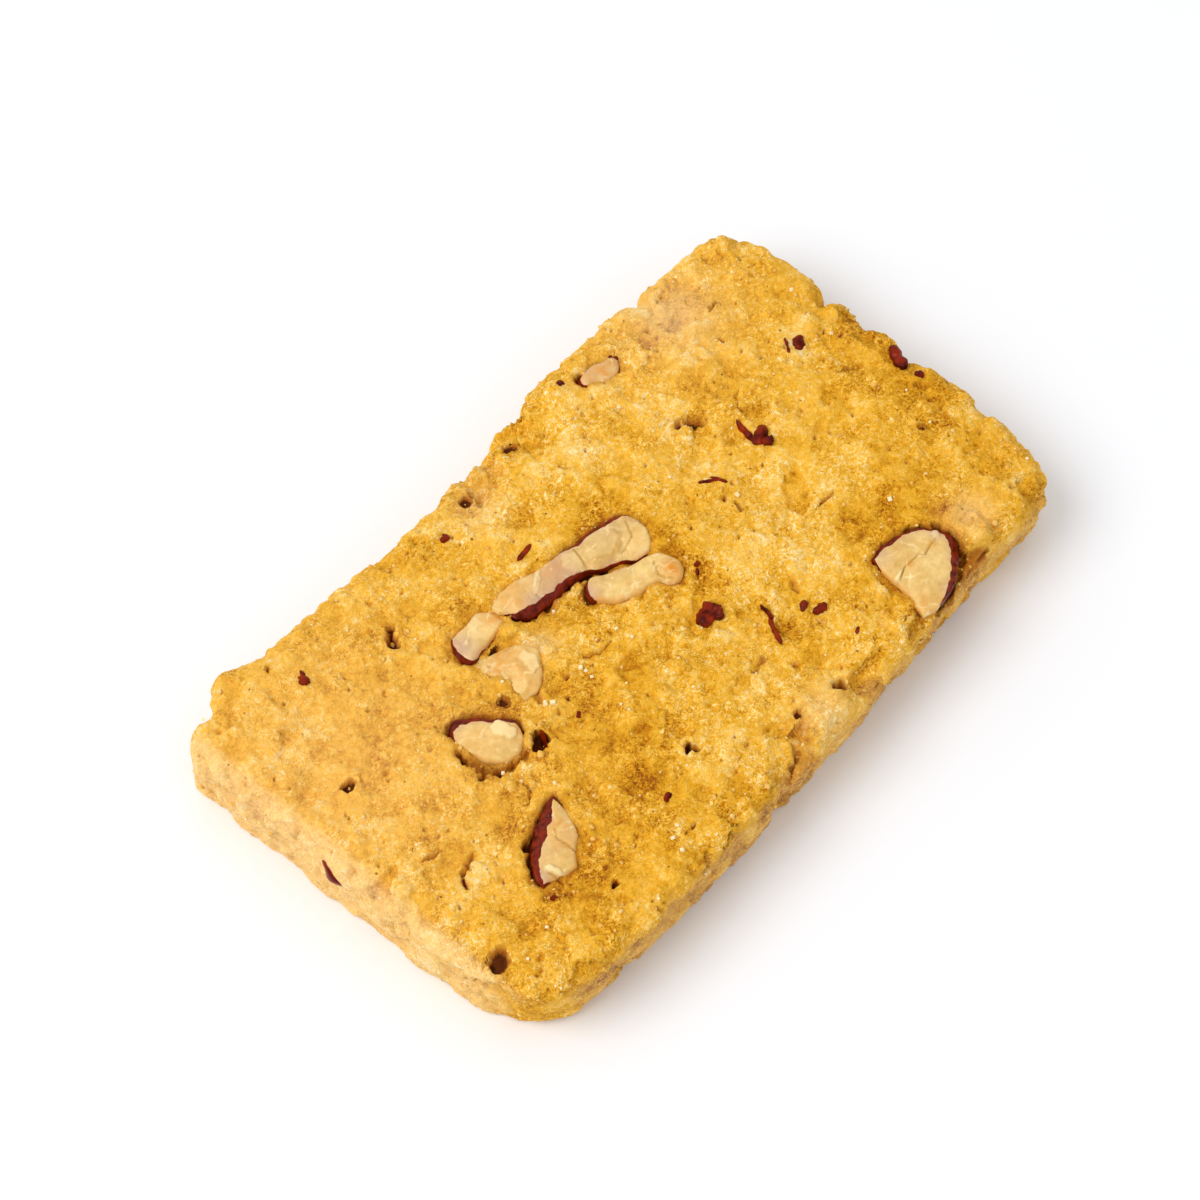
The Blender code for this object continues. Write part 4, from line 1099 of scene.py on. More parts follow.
# Painted light on the left end, which faces the lamp, and painted shade on the near side, turned from it
painted_light_left_end = smooth_step(-34.5, -35.8, dough_points[:, 0])
painted_shade_near_side = smooth_step(8.5, 6.0, dough_points[:, 2]) * smooth_step(-20.0, -21.0, dough_points[:, 1])
toasted = np.maximum(spots(dough_points, TOASTED_AND_SHADED), 0.62 * painted_shade_near_side)
pale = np.maximum.reduce([spots(dough_points, PALE_AND_LIT), 0.5 * painted_light_left_end, 0.3 * broken])
dough_values = {
    "peachy": spots(dough_points, PEACHY),
    "floury_and_painted_walls": np.maximum(spots(dough_points, FLOURY), 0.5 * painted_light_left_end + 0.3 * painted_shade_near_side),
    # Painted light and shade: higher crumb, plates and lifted plates are paler and pits darker
    "tone": (0.60 - 0.27 * toasted + 0.16 * pale + 0.14 * crumb_height + 0.36 * plate_height
             + 0.09 * flakes_up - 0.12 * pits),
    "shade": shade,
    "coarse": np.clip(1.0 + 0.8 * wander(dough_points, 2.6, (3.0, 3.0, 8.0)), 0.7, 1.35),
}
tone_range = np.quantile(dough_values["tone"], (0.02, 0.5, 0.98))
print("tone of the dough: dark, usual and pale:", np.round(tone_range, 2))
dough = make_piece("shortbread_dough", dough_points, list(quads.tolist()) + [underside.tolist()],
                   shortbread, ["dough"], dough_values)

# %% [markdown]
# A map of the surface lets other programs paint on it. The top is one rectangle, each side is a strip and
# the underside is small. The top and the sides have one scale, so a grain is the same size everywhere.

# %% Map of the surface
MAP_SCALE = 1 / 90          # map units per millimetre
MAP_MARGIN = 0.01


def map_dough(piece):
    layer = piece.data.uv_layers.new(name="OFBake")
    spots_on_map = np.zeros((len(piece.data.loops), 2), dtype=np.float32)
    corner_points = np.empty(len(piece.data.loops), dtype=np.int32)
    piece.data.loops.foreach_get("vertex_index", corner_points)
    top_loops = columns * rows * 4
    top = corner_points[:top_loops]
    spots_on_map[:top_loops, 0] = MAP_MARGIN + (top // (rows + 1)) * FINE * MAP_SCALE
    spots_on_map[:top_loops, 1] = MAP_MARGIN + (top % (rows + 1)) * FINE * MAP_SCALE
    strip_starts = [(0, 0.01, 0.50), (columns, 0.01, 0.79), (columns + rows, 0.01, 0.645),
                    (2 * columns + rows, 0.50, 0.79), (ring_length, 0.0, 0.0)]
    along = np.tile(np.arange(ring_length), len(profile) - 1)
    down = np.repeat(np.arange(len(profile) - 1), ring_length)
    left = np.zeros(len(along))
    foot = np.zeros(len(along))
    for (start, at_x, at_y), (end, _, _) in zip(strip_starts, strip_starts[1:]):
        here = (along >= start) & (along < end)
        left[here] = at_x + (along[here] - start) * FINE * MAP_SCALE
        foot[here] = at_y + down[here] * FINE * MAP_SCALE
    step = FINE * MAP_SCALE
    for corner, (add_x, add_y) in enumerate([(0, 0), (0, step), (step, step), (step, 0)]):
        spots_on_map[top_loops + corner:top_loops + 4 * len(along):4, 0] = left + add_x
        spots_on_map[top_loops + corner:top_loops + 4 * len(along):4, 1] = foot + add_y
    below = corner_points[-ring_length:]
    spots_on_map[-ring_length:, 0] = 0.1 + dough_points[below, 0] * 0.0012
    spots_on_map[-ring_length:, 1] = 0.96 + dough_points[below, 1] * 0.0012
    layer.data.foreach_set("uv", spots_on_map.ravel())


map_dough(dough)
print("surface map:", [layer.name for layer in dough.data.uv_layers])

# %% [markdown]
# Later pieces lie on the dough, so they need its height at any place. A tree of the top's points
# answers that: the level is the mean of the nearest few.

# %% Level of the dough
top_tree = tree_of(flat_points(dough_points[:top_u.size, 0], dough_points[:top_u.size, 1]))


def level(x, y, count=6):
    found = top_tree.find_n((x, y, 0.0), count)
    return sum(dough_points[number, 2] for place, number, away in found) / count


print("level in the middle of the top:", round(level(0.0, 0.0), 2), "mm")

# %% [markdown]
# An almond's kernel is dense, oily and ivory, its skin papery and red-brown. Both are on one piece, and
# the attribute "skin" says which is which, with a ragged border. The kernel takes light in, like wax.
# Near the skin it is stained pink, and where it was baked longest it is toasted.

# %% Almond
KERNEL_IVORY = "#F1CF88"
# The darker kernel colour serves both real mottling and the painted shade of facets and cracks
KERNEL_MOTTLE_AND_FACET_SHADE = "#CDA152"
KERNEL_PALE = "#F8E2AA"
KERNEL_BLUSH = "#C09C86"
# The toasted colour also paints shade along a bare rim
KERNEL_TOAST_AND_RIM_SHADE = "#DE9230"
SKIN_DARK = "#440500"
SKIN_BRIGHT = "#932A08"
FIBRE_WIDTH = 0.7           # real fibres are finer and would not show
KERNEL_ROUGHNESS = 0.24
KERNEL_IOR = 1.47
SKIN_ROUGHNESS = 0.30


def make_almond_material():
    m = new_material("cut_almond")
    at = add_node(m, "ShaderNodeTexCoord", output="Object")
    cloud = add_node(m, "ShaderNodeTexNoise", None, {"Vector": at, "Scale": per_metre(2.2), "Detail": 4.0})
    fibre = add_node(m, "ShaderNodeTexNoise", None,
                     {"Vector": at, "Scale": per_metre(FIBRE_WIDTH), "Detail": 5.0, "Roughness": 0.6})
    # Painted light and shade: the attribute facet makes each facet lighter or darker and each crack darker
    facet = add_node(m, "ShaderNodeAttribute", {"attribute_name": "facet"}, output="Fac")
    mottle_and_facet_shade = add_node(m, "ShaderNodeMath", {"operation": "MULTIPLY_ADD"}, {0: fibre, 1: 0.9, 2: facet})
    mottle_and_facet_shade = add_node(m, "ShaderNodeMath", {"operation": "MULTIPLY_ADD"}, {0: cloud, 1: 0.7, 2: mottle_and_facet_shade})
    share = add_node(m, "ShaderNodeMapRange", None, {"Value": mottle_and_facet_shade, "From Min": 0.55, "From Max": 1.15})
    colour = add_node(m, "ShaderNodeMix", {"data_type": "RGBA"},
                      {"Factor": share, "A": linear(KERNEL_IVORY), "B": linear(KERNEL_MOTTLE_AND_FACET_SHADE)})
    for label, tint in (("blush", KERNEL_BLUSH), ("toast_and_rim_shade", KERNEL_TOAST_AND_RIM_SHADE), ("pale", KERNEL_PALE)):
        amount = add_node(m, "ShaderNodeAttribute", {"attribute_name": label}, output="Fac")
        colour = add_node(m, "ShaderNodeMix", {"data_type": "RGBA"},
                          {"Factor": amount, "A": colour, "B": linear(tint)})
    share = add_node(m, "ShaderNodeMapRange", None, {"Value": fibre, "From Min": 0.35, "From Max": 0.7})
    skin_colour = add_node(m, "ShaderNodeMix", {"data_type": "RGBA"},
                           {"Factor": share, "A": linear(SKIN_DARK), "B": linear(SKIN_BRIGHT)})
    skin = add_node(m, "ShaderNodeAttribute", {"attribute_name": "skin"}, output="Fac")
    rag = add_node(m, "ShaderNodeMath", {"operation": "MULTIPLY_ADD"}, {0: fibre, 1: 0.3, 2: skin})
    edge = add_node(m, "ShaderNodeMapRange", None, {"Value": rag, "From Min": 0.58, "From Max": 0.74})
    colour = add_node(m, "ShaderNodeMix", {"data_type": "RGBA"},
                      {"Factor": edge, "A": colour, "B": skin_colour})
    normal = add_node(m, "ShaderNodeBump", None, {"Height": fibre, "Strength": 0.45, "Distance": 0.1 * MM})
    roughness = add_node(m, "ShaderNodeMapRange", None,
                         {"Value": edge, "To Min": KERNEL_ROUGHNESS, "To Max": SKIN_ROUGHNESS})
    wax = add_node(m, "ShaderNodeMapRange", None, {"Value": edge, "To Min": 0.35, "To Max": 0.0})
    shader = add_node(m, "ShaderNodeBsdfPrincipled", None, {
        "Base Color": colour, "Roughness": roughness, "IOR": KERNEL_IOR, "Normal": normal,
        "Subsurface Weight": wax, "Subsurface Radius": (1.0, 0.6, 0.3), "Subsurface Scale": 1.2 * MM,
        "Specular IOR Level": 0.2})
    finish_material(m, shader)
    return m


cut_almond = make_almond_material()

# %% [markdown]
# Each almond is a cap on a skirt. The outline is split at its tips and made smooth, and straight rows
# join one side to the other, so the cells follow the kernel's length.

# %% Rows of a cut almond
ALMOND_CELL = 0.15
RIM_RAG = (0.8, 0.16)       # raggedness of the rim: its size and its height


def even_side(points, count):
    """Evenly spaced points on a smooth curve through points."""
    rows = [np.array(p) for p in points]
    rows = [2 * rows[0] - rows[1]] + rows + [2 * rows[-1] - rows[-2]]
    dense = []
    for a, b, c, d in zip(rows, rows[1:], rows[2:], rows[3:]):
        for t in np.linspace(0, 1, 12, endpoint=False):
            dense.append(0.5 * (2 * b + (c - a) * t + (2 * a - 5 * b + 4 * c - d) * t * t
                                + (3 * b - a - 3 * c + d) * t ** 3))
    dense.append(rows[-2])
    dense = np.array(dense)
    steps = np.hypot(*np.diff(dense[:, :2], axis=0).T)
    along = np.concatenate([[0.0], np.cumsum(steps)])
    wanted = np.linspace(0, along[-1], count)
    return np.stack([np.interp(wanted, along, dense[:, k]) for k in range(dense.shape[1])], axis=1)


def almond_rows(outline, far_tip):
    """Points of the cut face in rows, the rim round them, the widest row, and both counts."""
    one = outline[:far_tip + 1]
    two = [outline[0]] + outline[:far_tip - 1:-1]
    length = sum(math.dist(a[:2], b[:2]) for a, b in zip(one, one[1:]))
    count = max(round(length / ALMOND_CELL), 8)
    one = even_side(one, count)
    two = even_side(two, count)
    for side in (one, two):
        fade = np.minimum(np.linspace(0, 4, count), np.linspace(4, 0, count)).clip(0, 1)
        for axis in range(2):
            rag = wander(flat_points(side[:, 0], side[:, 1]), RIM_RAG[0], (axis, 7.0, 2.0))
            side[:, axis] += RIM_RAG[1] * fade * rag
    widest = np.hypot(*(one - two)[:, :2].T).max()
    across = max(round(widest / ALMOND_CELL), 6)
    rim = np.concatenate([one, two[-2:0:-1]])
    points = [one[0, :2]]
    for a, b in zip(one[1:-1], two[1:-1]):
        points += [a[:2] + (b - a)[:2] * k / across for k in range(across + 1)]
    points.append(one[-1, :2])
    return np.array(points), rim, widest, count, across


long_almond = ALMONDS["almond_long"]
print("almond_long is", round(almond_rows(long_almond["outline"], long_almond["far_tip"])[2], 2), "mm wide")

# %% [markdown]
# The height of a point depends on its distance from the rim: round at the edge, then gently crowned. The
# skin beyond the cut falls away, most of all on one side, because the cuts lean. A chopped kernel breaks
# in facets, so plates and fine cracks go over that, and a chip is a raised or sunken patch.

# %% Height of a cut face
RIM_ROUND = 0.32            # radius of the rim
FLANK = 0.8                 # how steeply the skin falls away beyond the cut face
FLANK_SIDE = (-0.76, -0.65)    # it falls away most on this side
FLANK_LIMIT = 0.5           # and no deeper than this
FACETS = (2.4, 1.1)         # sizes of the facets
ALMOND_CRACK = 0.16         # depth of a crack in a kernel


def to_the_rim(points, rim):
    """Nearest place of the rim, distance from it, and width of the skin there."""
    gaps = np.hypot(points[:, None, 0] - rim[None, :, 0], points[:, None, 1] - rim[None, :, 1])
    nearest = gaps.argmin(axis=1)
    inward = gaps.min(axis=1)
    flat = flat_points(points[:, 0], points[:, 1])
    skin_width = rim[nearest, 2] * (1 + 0.3 * wander(flat, 1.3, (2.0, 4.0, 6.0)) + 0.15 * wander(flat, 0.4))
    return nearest, inward, skin_width


def crowned_height(almond, points, rim, widest, inward):
    short = np.maximum(RIM_ROUND - inward, 0.0)
    rounding = RIM_ROUND - np.sqrt(np.maximum(RIM_ROUND ** 2 - short ** 2, 0.0))
    middle = points.mean(axis=0)
    base = np.array([relief(np.array([px]), np.array([py]))[0] for px, py in rim[::8, :2]]).mean() + HEIGHT
    rounded = almond["crown"] * (1 - (1 - np.clip(2 * inward / widest, 0, 1)) ** 2)
    surface = base + almond["lift"] + rounded - rounding
    for axis in range(2):
        surface = surface + almond["tilt"][axis] * (points[:, axis] - middle[axis])
    return surface


def facet_levels(flat):
    """Places moved by noise, and the level of the facet at each."""
    jagged = flat + 0.15 * np.stack([wander(flat, 0.5, (k, 1.0, 3.0)) for k in range(3)], axis=1)
    return jagged, plates(jagged, FACETS[0]) + 0.4 * plates(jagged, FACETS[1])


def break_surface(almond, surface, points, to_rim, inward, skin_width, flat, jagged, levels):
    """Add the facets, cracks, falling skin and chips, and return the dents and the pale chips."""
    facets = almond["facets"]
    surface += facets * levels + (0.03 + 0.4 * facets) * wander(flat, 1.0, (8.0, 8.0, 8.0))
    dents = np.zeros(len(points))
    for crack in almond["cracks"]:
        dents = np.maximum(dents, smooth_step(0.12, 0.02, gap_to_line(crack, points[:, 0], points[:, 1])))
    side = (to_rim @ np.array(FLANK_SIDE)) / np.maximum(inward, 0.02)
    steepness = FLANK * (0.55 + 0.45 * np.clip(side, -1, 1))
    fall = np.minimum(steepness * np.maximum(skin_width - inward, 0.0), FLANK_LIMIT)
    surface -= ALMOND_CRACK * dents + fall
    pale = np.zeros(len(points))
    for chip, rise in almond["chips"]:
        inside = smooth_step(0.0, 0.12, depth_inside(chip, jagged[:, 0], jagged[:, 1]))
        surface += rise * inside
        pale = np.maximum(pale, 2.8 * rise * inside)
    return dents, pale


print("chips on kernels:", sum(len(almond["chips"]) for almond in ALMONDS.values()))

# %% [markdown]
# The colours follow the same distances. Skin covers a strip of its own width along the rim, the kernel
# blushes beside it, a bare edge is darkened as painted shade, and pale threads and chips lie where the nut
# broke dry. Each facet is painted a little lighter or darker and each crack darker, which is painted light
# and shade.

# %% Colours of a cut face
def face_colours(almond, inward, skin_width, flat, jagged, levels, dents, pale):
    """The values that the almond's material reads, one for each point."""
    skin = smooth_step(skin_width + 0.12, skin_width - 0.12, inward) * (skin_width > 0.04)
    threads = smooth_step(0.05, 0.01, np.abs(wander(jagged, 1.5, (2.0, 9.0, 5.0))))
    pale = np.clip(np.maximum(pale, threads * (0.35 + wander(flat, 1.2, (6.0, 2.0, 3.0)))), 0.0, 1.0)
    blush = np.exp(-np.maximum(inward - skin_width, 0.0) / 0.4) * (skin_width > 0.04)
    blush = 0.7 * blush * (0.6 + 0.8 * wander(flat, 1.6, (5.0, 5.0, 1.0))) + spots(flat, almond["stains"])
    blush = np.clip(blush, 0.0, 1.0)
    toast_and_rim_shade = np.clip(spots(flat, almond["toasts"]) * (1 + wander(flat, 0.7)), 0.0, 1.0)
    # Painted shade: a bare rim without skin is darkened with the toasted colour
    toast_and_rim_shade = np.maximum(toast_and_rim_shade, 0.40 * smooth_step(0.5, 0.0, inward) * (skin_width < 0.15))
    return {"skin": list(skin), "blush": list(0.8 * blush), "toast_and_rim_shade": list(toast_and_rim_shade), "pale": list(pale),
            "facet": list(2.2 * almond["facets"] * levels + 0.5 * dents)}


print("toasted spots on kernels:", sum(len(almond["toasts"]) for almond in ALMONDS.values()))

# %% [markdown]
# The rows are joined by four-sided faces, with triangles at the two tips. Then rings go down into the
# dough's bed and a little inward, like the side of a cork, and the last ring is closed.

# %% Faces and skirt of an almond
SKIRT = [(0.05, 0.35), (0.10, 0.75), (0.25, 1.2), (0.6, 1.7)]    # how far in and down each ring goes
# The skirt's sides take the rim's toast and a little painted facet shade
SKIRT_VALUES = {"blush": 0.0, "toast_and_rim_shade": 0.35, "pale": 0.0, "facet": 0.1}


def face_cells(count, across, last):
    """Faces between the rows, and the numbers of the points round them."""
    def row_start(row):
        return 1 + (row - 1) * (across + 1)

    faces = []
    for k in range(across):
        faces.append((0, row_start(1) + k + 1, row_start(1) + k))
        faces.append((last, row_start(count - 2) + k, row_start(count - 2) + k + 1))
    for row in range(1, count - 2):
        for k in range(across):
            a = row_start(row) + k
            b = row_start(row + 1) + k
            faces.append((a, a + 1, b + 1, b))
    ring = [0] + [row_start(row) for row in range(1, count - 1)] + [last]
    ring += [row_start(row) + across for row in range(count - 2, 0, -1)]
    return faces, ring


def ring_outward(ring_points, middle):
    """Direction away from the kernel at each point of its rim."""
    outward = ring_points[:, :2] - np.roll(ring_points[:, :2], 1, axis=0)
    outward += np.roll(ring_points[:, :2], -1, axis=0) - ring_points[:, :2]
    outward = np.stack([outward[:, 1], -outward[:, 0]], axis=1)
    outward /= np.maximum(np.hypot(*outward.T), 1e-9)[:, None]
    if (outward * (ring_points[:, :2] - middle)).sum() < 0:
        outward = -outward
    return outward


def add_skirt(places, faces, values, ring, middle):
    ring_points = np.array([places[number] for number in ring])
    outward = ring_outward(ring_points, middle)
    ring_skin = np.array([values["skin"][number] for number in ring])
    for inward_by, down_by in SKIRT:
        below = []
        for number, (place, out) in enumerate(zip(ring_points, outward)):
            below.append(len(places))
            places.append((place[0] - out[0] * inward_by, place[1] - out[1] * inward_by, place[2] - down_by))
            values["skin"].append(ring_skin[number])
            for label, amount in SKIRT_VALUES.items():
                values[label].append(amount)
        for k in range(len(ring)):
            after = (k + 1) % len(ring)
            faces.append((ring[k], ring[after], below[after], below[k]))
        ring = below
    faces.append(tuple(ring))


print("an almond reaches", SKIRT[-1][1], "mm into the dough")

# %% [markdown]
# Now an almond can be made in one go: rows, heights, colours, faces and skirt. Each one of the solid
# almonds is replaced by its piece. The scrap at the far edge has no solid of its own, so it only rides
# on the bar.

# %% Cut almonds
def build_almond(name, almond):
    points, rim, widest, count, across = almond_rows(almond["outline"], almond["far_tip"])
    nearest, inward, skin_width = to_the_rim(points, rim)
    flat = flat_points(points[:, 0], points[:, 1])
    jagged, levels = facet_levels(flat)
    surface = crowned_height(almond, points, rim, widest, inward)
    to_rim = rim[nearest, :2] - points
    dents, pale = break_surface(almond, surface, points, to_rim, inward, skin_width, flat, jagged, levels)
    values = face_colours(almond, inward, skin_width, flat, jagged, levels, dents, pale)
    places = [tuple(p) for p in np.column_stack([points, surface])]
    faces, ring = face_cells(count, across, len(points) - 1)
    add_skirt(places, faces, values, ring, points.mean(axis=0))
    stands_for = [name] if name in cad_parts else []
    return make_piece(f"cut_{name}", np.array(places), faces, cut_almond, stands_for, values)


for name, almond in ALMONDS.items():
    build_almond(name, almond)

# %% [markdown]
# Many small things come next. A sheet gets its thickness from a copy of itself, moved back and joined along
# the rim, and the small things of one kind are joined to one piece.

# %% Sheets with a thickness
def sheet_with_thickness(columns_of_points, back):
    """Closed shell from a grid of points: the grid, a copy moved back, and a rim between them."""
    long = len(columns_of_points)
    wide = len(columns_of_points[0])
    points = [tuple(p) for column in columns_of_points for p in column]
    points += [(p[0] + back[0], p[1] + back[1], p[2] + back[2]) for p in points[:long * wide]]
    under = long * wide
    faces = []
    for i in range(long - 1):
        for j in range(wide - 1):
            a = i * wide + j
            faces.append((a, a + wide, a + wide + 1, a + 1))
            faces.append((under + a, under + a + 1, under + a + wide + 1, under + a + wide))
    rim = [i * wide for i in range(long)] + [(long - 1) * wide + j for j in range(1, wide)]
    rim += [i * wide + wide - 1 for i in range(long - 2, -1, -1)] + [j for j in range(wide - 2, 0, -1)]
    for k, a in enumerate(rim):
        b = rim[(k + 1) % len(rim)]
        faces.append((a, under + a, under + b, b))
    return points, faces


def joined(parts):
    """Join the points and faces of many small shapes."""
    points = []
    faces = []
    for part_points, part_faces in parts:
        start = len(points)
        points += part_points
        faces += [tuple(start + number for number in face) for face in part_faces]
    return np.array(points), faces


one_cell = sheet_with_thickness([[(0, 0, 0), (0, 1, 0)], [(1, 0, 0), (1, 1, 0)]], (0, 0, -1))
print("a sheet of one cell has", len(one_cell[0]), "points and", len(one_cell[1]), "faces")

# %% [markdown]
# Flakes of skin came off when the almonds were cut, and got mixed in. A flake is a small curled sheet with
# ragged ends. Each is drawn as a grid that narrows to its ends and bends across, and it follows the level
# of the dough below it.

# %% Flakes of almond skin
# Place, length, width, angle in degrees, curl, lift
SKIN_FLAKES = [
    (2.6, -6.4, 2.2, 1.7, 10, 0.30, 0.45), (3.3, -7.1, 1.3, 0.9, 60, 0.20, 0.55),
    (19.9, 1.9, 2.2, 1.1, 20, 0.3, 0.25), (19.4, 3.2, 2.6, 0.5, 75, 0.2, 0.15),
    (19.9, 1.0, 1.1, 0.9, -40, 0.3, 0.3), (5.3, -12.0, 2.8, 0.45, 62, 0.2, 0.25),
    (6.3, -10.2, 1.7, 0.35, 80, 0.2, 0.25), (8.8, -12.3, 1.1, 0.6, 30, 0.2, 0.2),
    (9.5, -13.6, 1.4, 0.8, -20, 0.25, 0.2), (29.8, 5.5, 1.4, 0.9, 35, 0.3, 0.25),
    (28.8, 6.1, 1.6, 0.3, 55, 0.1, 0.12), (34.5, -2.3, 2.8, 1.1, 64, 0.35, 0.3),
    (34.3, -4.9, 0.9, 0.6, -60, 0.2, 0.15), (-25.4, 15.8, 0.9, 0.9, 30, 0.25, 0.22),
    (-25.0, 16.4, 0.7, 0.4, 70, 0.1, 0.2), (-6.6, 16.2, 0.9, 0.75, 0, 0.25, 0.15),
    (12.3, 19.1, 0.7, 0.6, 0, 0.2, 0.12), (-3.1, 9.9, 1.9, 0.45, 4, 0.15, 0.14),
    (13.1, 2.3, 1.7, 0.35, -40, 0.15, 0.12), (13.9, 1.7, 1.6, 0.3, -70, 0.1, 0.1),
    (6.0, -2.4, 0.6, 0.45, 0, 0.15, 0.1), (5.5, -2.9, 0.5, 0.35, 50, 0.1, 0.1),
    (17.6, 17.3, 0.9, 0.35, -60, 0.1, 0.14), (-26.8, -14.2, 0.6, 0.5, 0, 0.2, 0.1),
    (9.9, -17.5, 0.8, 0.3, 30, 0.1, 0.08), (-13.4, -15.5, 0.9, 0.5, 10, 0.15, 0.06),
    (-17.3, 12.6, 0.9, 0.5, 70, 0.2, -0.5), (-16.7, 13.4, 0.7, 0.4, 10, 0.2, -0.3),
    (-15.6, -3.3, 1.4, 0.35, 60, 0.15, 0.0), (-30.3, -7.3, 1.1, 0.3, 35, 0.1, -0.1),
    (-8.7, -13.5, 0.6, 0.3, 20, 0.1, -0.1), (16.4, 7.8, 1.2, 0.3, -35, 0.1, -0.2),
    (-12.0, -4.2, 0.6, 0.4, 30, 0.1, 0.05),
]
FLAKE_ROWS = 14
FLAKE_COLUMNS = 6
FLAKE_THICKNESS = 0.12
FLAKE_ROOT = 0.3            # how far a flake reaches down into the dough


def curled_flake(x, y, length, width, degrees, curl, lift):
    turn = math.radians(degrees)
    columns_of_points = []
    for i in range(FLAKE_ROWS + 1):
        s = 2 * i / FLAKE_ROWS - 1
        half = 0.5 * width * (0.30 + 0.70 * math.sqrt(max(1 - abs(s) ** 3, 0.0)))
        column = []
        for j in range(FLAKE_COLUMNS + 1):
            t = 2 * j / FLAKE_COLUMNS - 1
            ragged = 1 + 0.6 * noise.noise(Vector((x + s * 1.9, y + t, 3.0)))
            along = 0.5 * length * s * (1 + 0.15 * noise.noise(Vector((x, y + 2.3 * t, 5.0))))
            across = half * t * ragged
            px = x + along * math.cos(turn) - across * math.sin(turn)
            py = y + along * math.sin(turn) + across * math.cos(turn)
            rise = lift + curl * (1 - t * t) * (1 - 0.6 * s * s)
            rise += 0.10 * noise.noise(Vector((px * 2.2, py * 2.2, 9.0)))
            column.append((px, py, level(px, py, 12) + rise))
        columns_of_points.append(column)
    return sheet_with_thickness(columns_of_points, (0.0, 0.0, -FLAKE_THICKNESS - lift - FLAKE_ROOT))


flakes = [curled_flake(*row) for row in SKIN_FLAKES]
print(len(flakes), "flakes lie on the top")

# %% [markdown]
# One flake lies flat against the left end. It is a narrow strip, and each of its points is brought to the
# nearest dough with a tree of all its points, so the flake follows the wall and tapers into it.

# %% Flake on the left end
WALL_FLAKE = ((-36.5, 3.7, 7.0), (-36.6, 1.3, 5.8), 1.5)    # start, end, width

wall_tree = tree_of(dough_points)


def wall_flake(start, end, width):
    """A flake that lies against the left end of the bar."""
    columns_of_points = []
    for s in np.linspace(-1, 1, 9):
        column = []
        for t in np.linspace(-1, 1, 5):
            ragged = 1 + 0.5 * noise.noise(Vector((s * 1.7, t, 6.0)))
            place = (np.array(start) + np.array(end)) / 2 + s * (np.array(end) - np.array(start)) / 2
            place[2] += 0.5 * width * t * ragged * math.sqrt(max(1.05 - s * s, 0.0))
            found = wall_tree.find_n(place.tolist(), 8)
            place[0] = sum(dough_points[number, 0] for spot, number, away in found) / len(found)
            place[0] -= 0.3 * (1 - s * s) * (1 - 0.4 * t * t) + 0.05
            column.append(tuple(place))
        columns_of_points.append(column)
    return sheet_with_thickness(columns_of_points, (0.6, 0.0, 0.0))


flakes.append(wall_flake(*WALL_FLAKE))
print("the left end carries a flake", round(math.dist(*WALL_FLAKE[:2]), 1), "mm long")

# %% [markdown]
# Loose skin looks like the skin on the kernels, papery and streaked from dark to red-brown, so it uses the
# same two colours. It has no wax under it, and its reflection is weaker.

# %% Skin of the flakes
def make_skin_material():
    m = new_material("almond_skin")
    at = add_node(m, "ShaderNodeTexCoord", output="Object")
    fibre = add_node(m, "ShaderNodeTexNoise", None,
                     {"Vector": at, "Scale": per_metre(1.0), "Detail": 4.0, "Roughness": 0.55})
    share = add_node(m, "ShaderNodeMapRange", None, {"Value": fibre, "From Min": 0.35, "From Max": 0.7})
    colour = add_node(m, "ShaderNodeMix", {"data_type": "RGBA"},
                      {"Factor": share, "A": linear(SKIN_DARK), "B": linear(SKIN_BRIGHT)})
    normal = add_node(m, "ShaderNodeBump", None, {"Height": fibre, "Strength": 0.6, "Distance": 0.1 * MM})
    shader = add_node(m, "ShaderNodeBsdfPrincipled", None, {
        "Base Color": colour, "Roughness": SKIN_ROUGHNESS, "IOR": KERNEL_IOR, "Normal": normal,
        "Specular IOR Level": 0.12})
    finish_material(m, shader)
    return m


almond_skin = make_skin_material()
points, faces = joined(flakes)
make_piece("skin_flakes", points, faces, almond_skin)

# %% [markdown]
# Loose crumbs and undissolved sugar lie all over a shortbread. A crumb is a rough lump a few tenths of a
# millimetre wide, a sugar grain is a small block. A crumb is stamped from a ball and a grain from a block,
# each turned and squashed at random. Thousands of separate objects would be slow, so only points are made.

# %% Balls and blocks
def unit_ball():
    ball = bpy.data.meshes.new("ball")
    shape = bmesh.new()
    bmesh.ops.create_icosphere(shape, subdivisions=2, radius=1.0)
    shape.to_mesh(ball)
    shape.free()
    points = np.array([tuple(v.co) for v in ball.vertices])
    faces = [tuple(face.vertices) for face in ball.polygons]
    bpy.data.meshes.remove(ball)
    return points, faces


def random_turn():
    axis = Vector(random.normal(size=3).tolist()).normalized()
    return np.array(Matrix.Rotation(random.uniform(0, math.tau), 3, axis))


ball_points, ball_faces = unit_ball()
block_points = np.array([(a, b, c) for a in (-1, 1) for b in (-1, 1) for c in (-1, 1)], dtype=float)
block_faces = [(0, 1, 3, 2), (4, 6, 7, 5), (0, 4, 5, 1), (2, 3, 7, 6), (0, 2, 6, 4), (1, 5, 7, 3)]
print("a ball has", len(ball_points), "points, a block has", len(block_points))

# %% [markdown]
# Small crumbs are far more common than large ones, which the third power of a random number gives. The
# larger ones that can be told apart in the picture have a place of their own. All are half sunk in the
# dough, because a crumb that only touched it would cast a hard shadow all round.

# %% Crumbs
CRUMBS = 2000
CRUMB_SIZES = (0.20, 0.40)  # the smallest, and how much larger the largest is
LOWEST_CRUMB = 1.5          # height above the table below which none are scattered


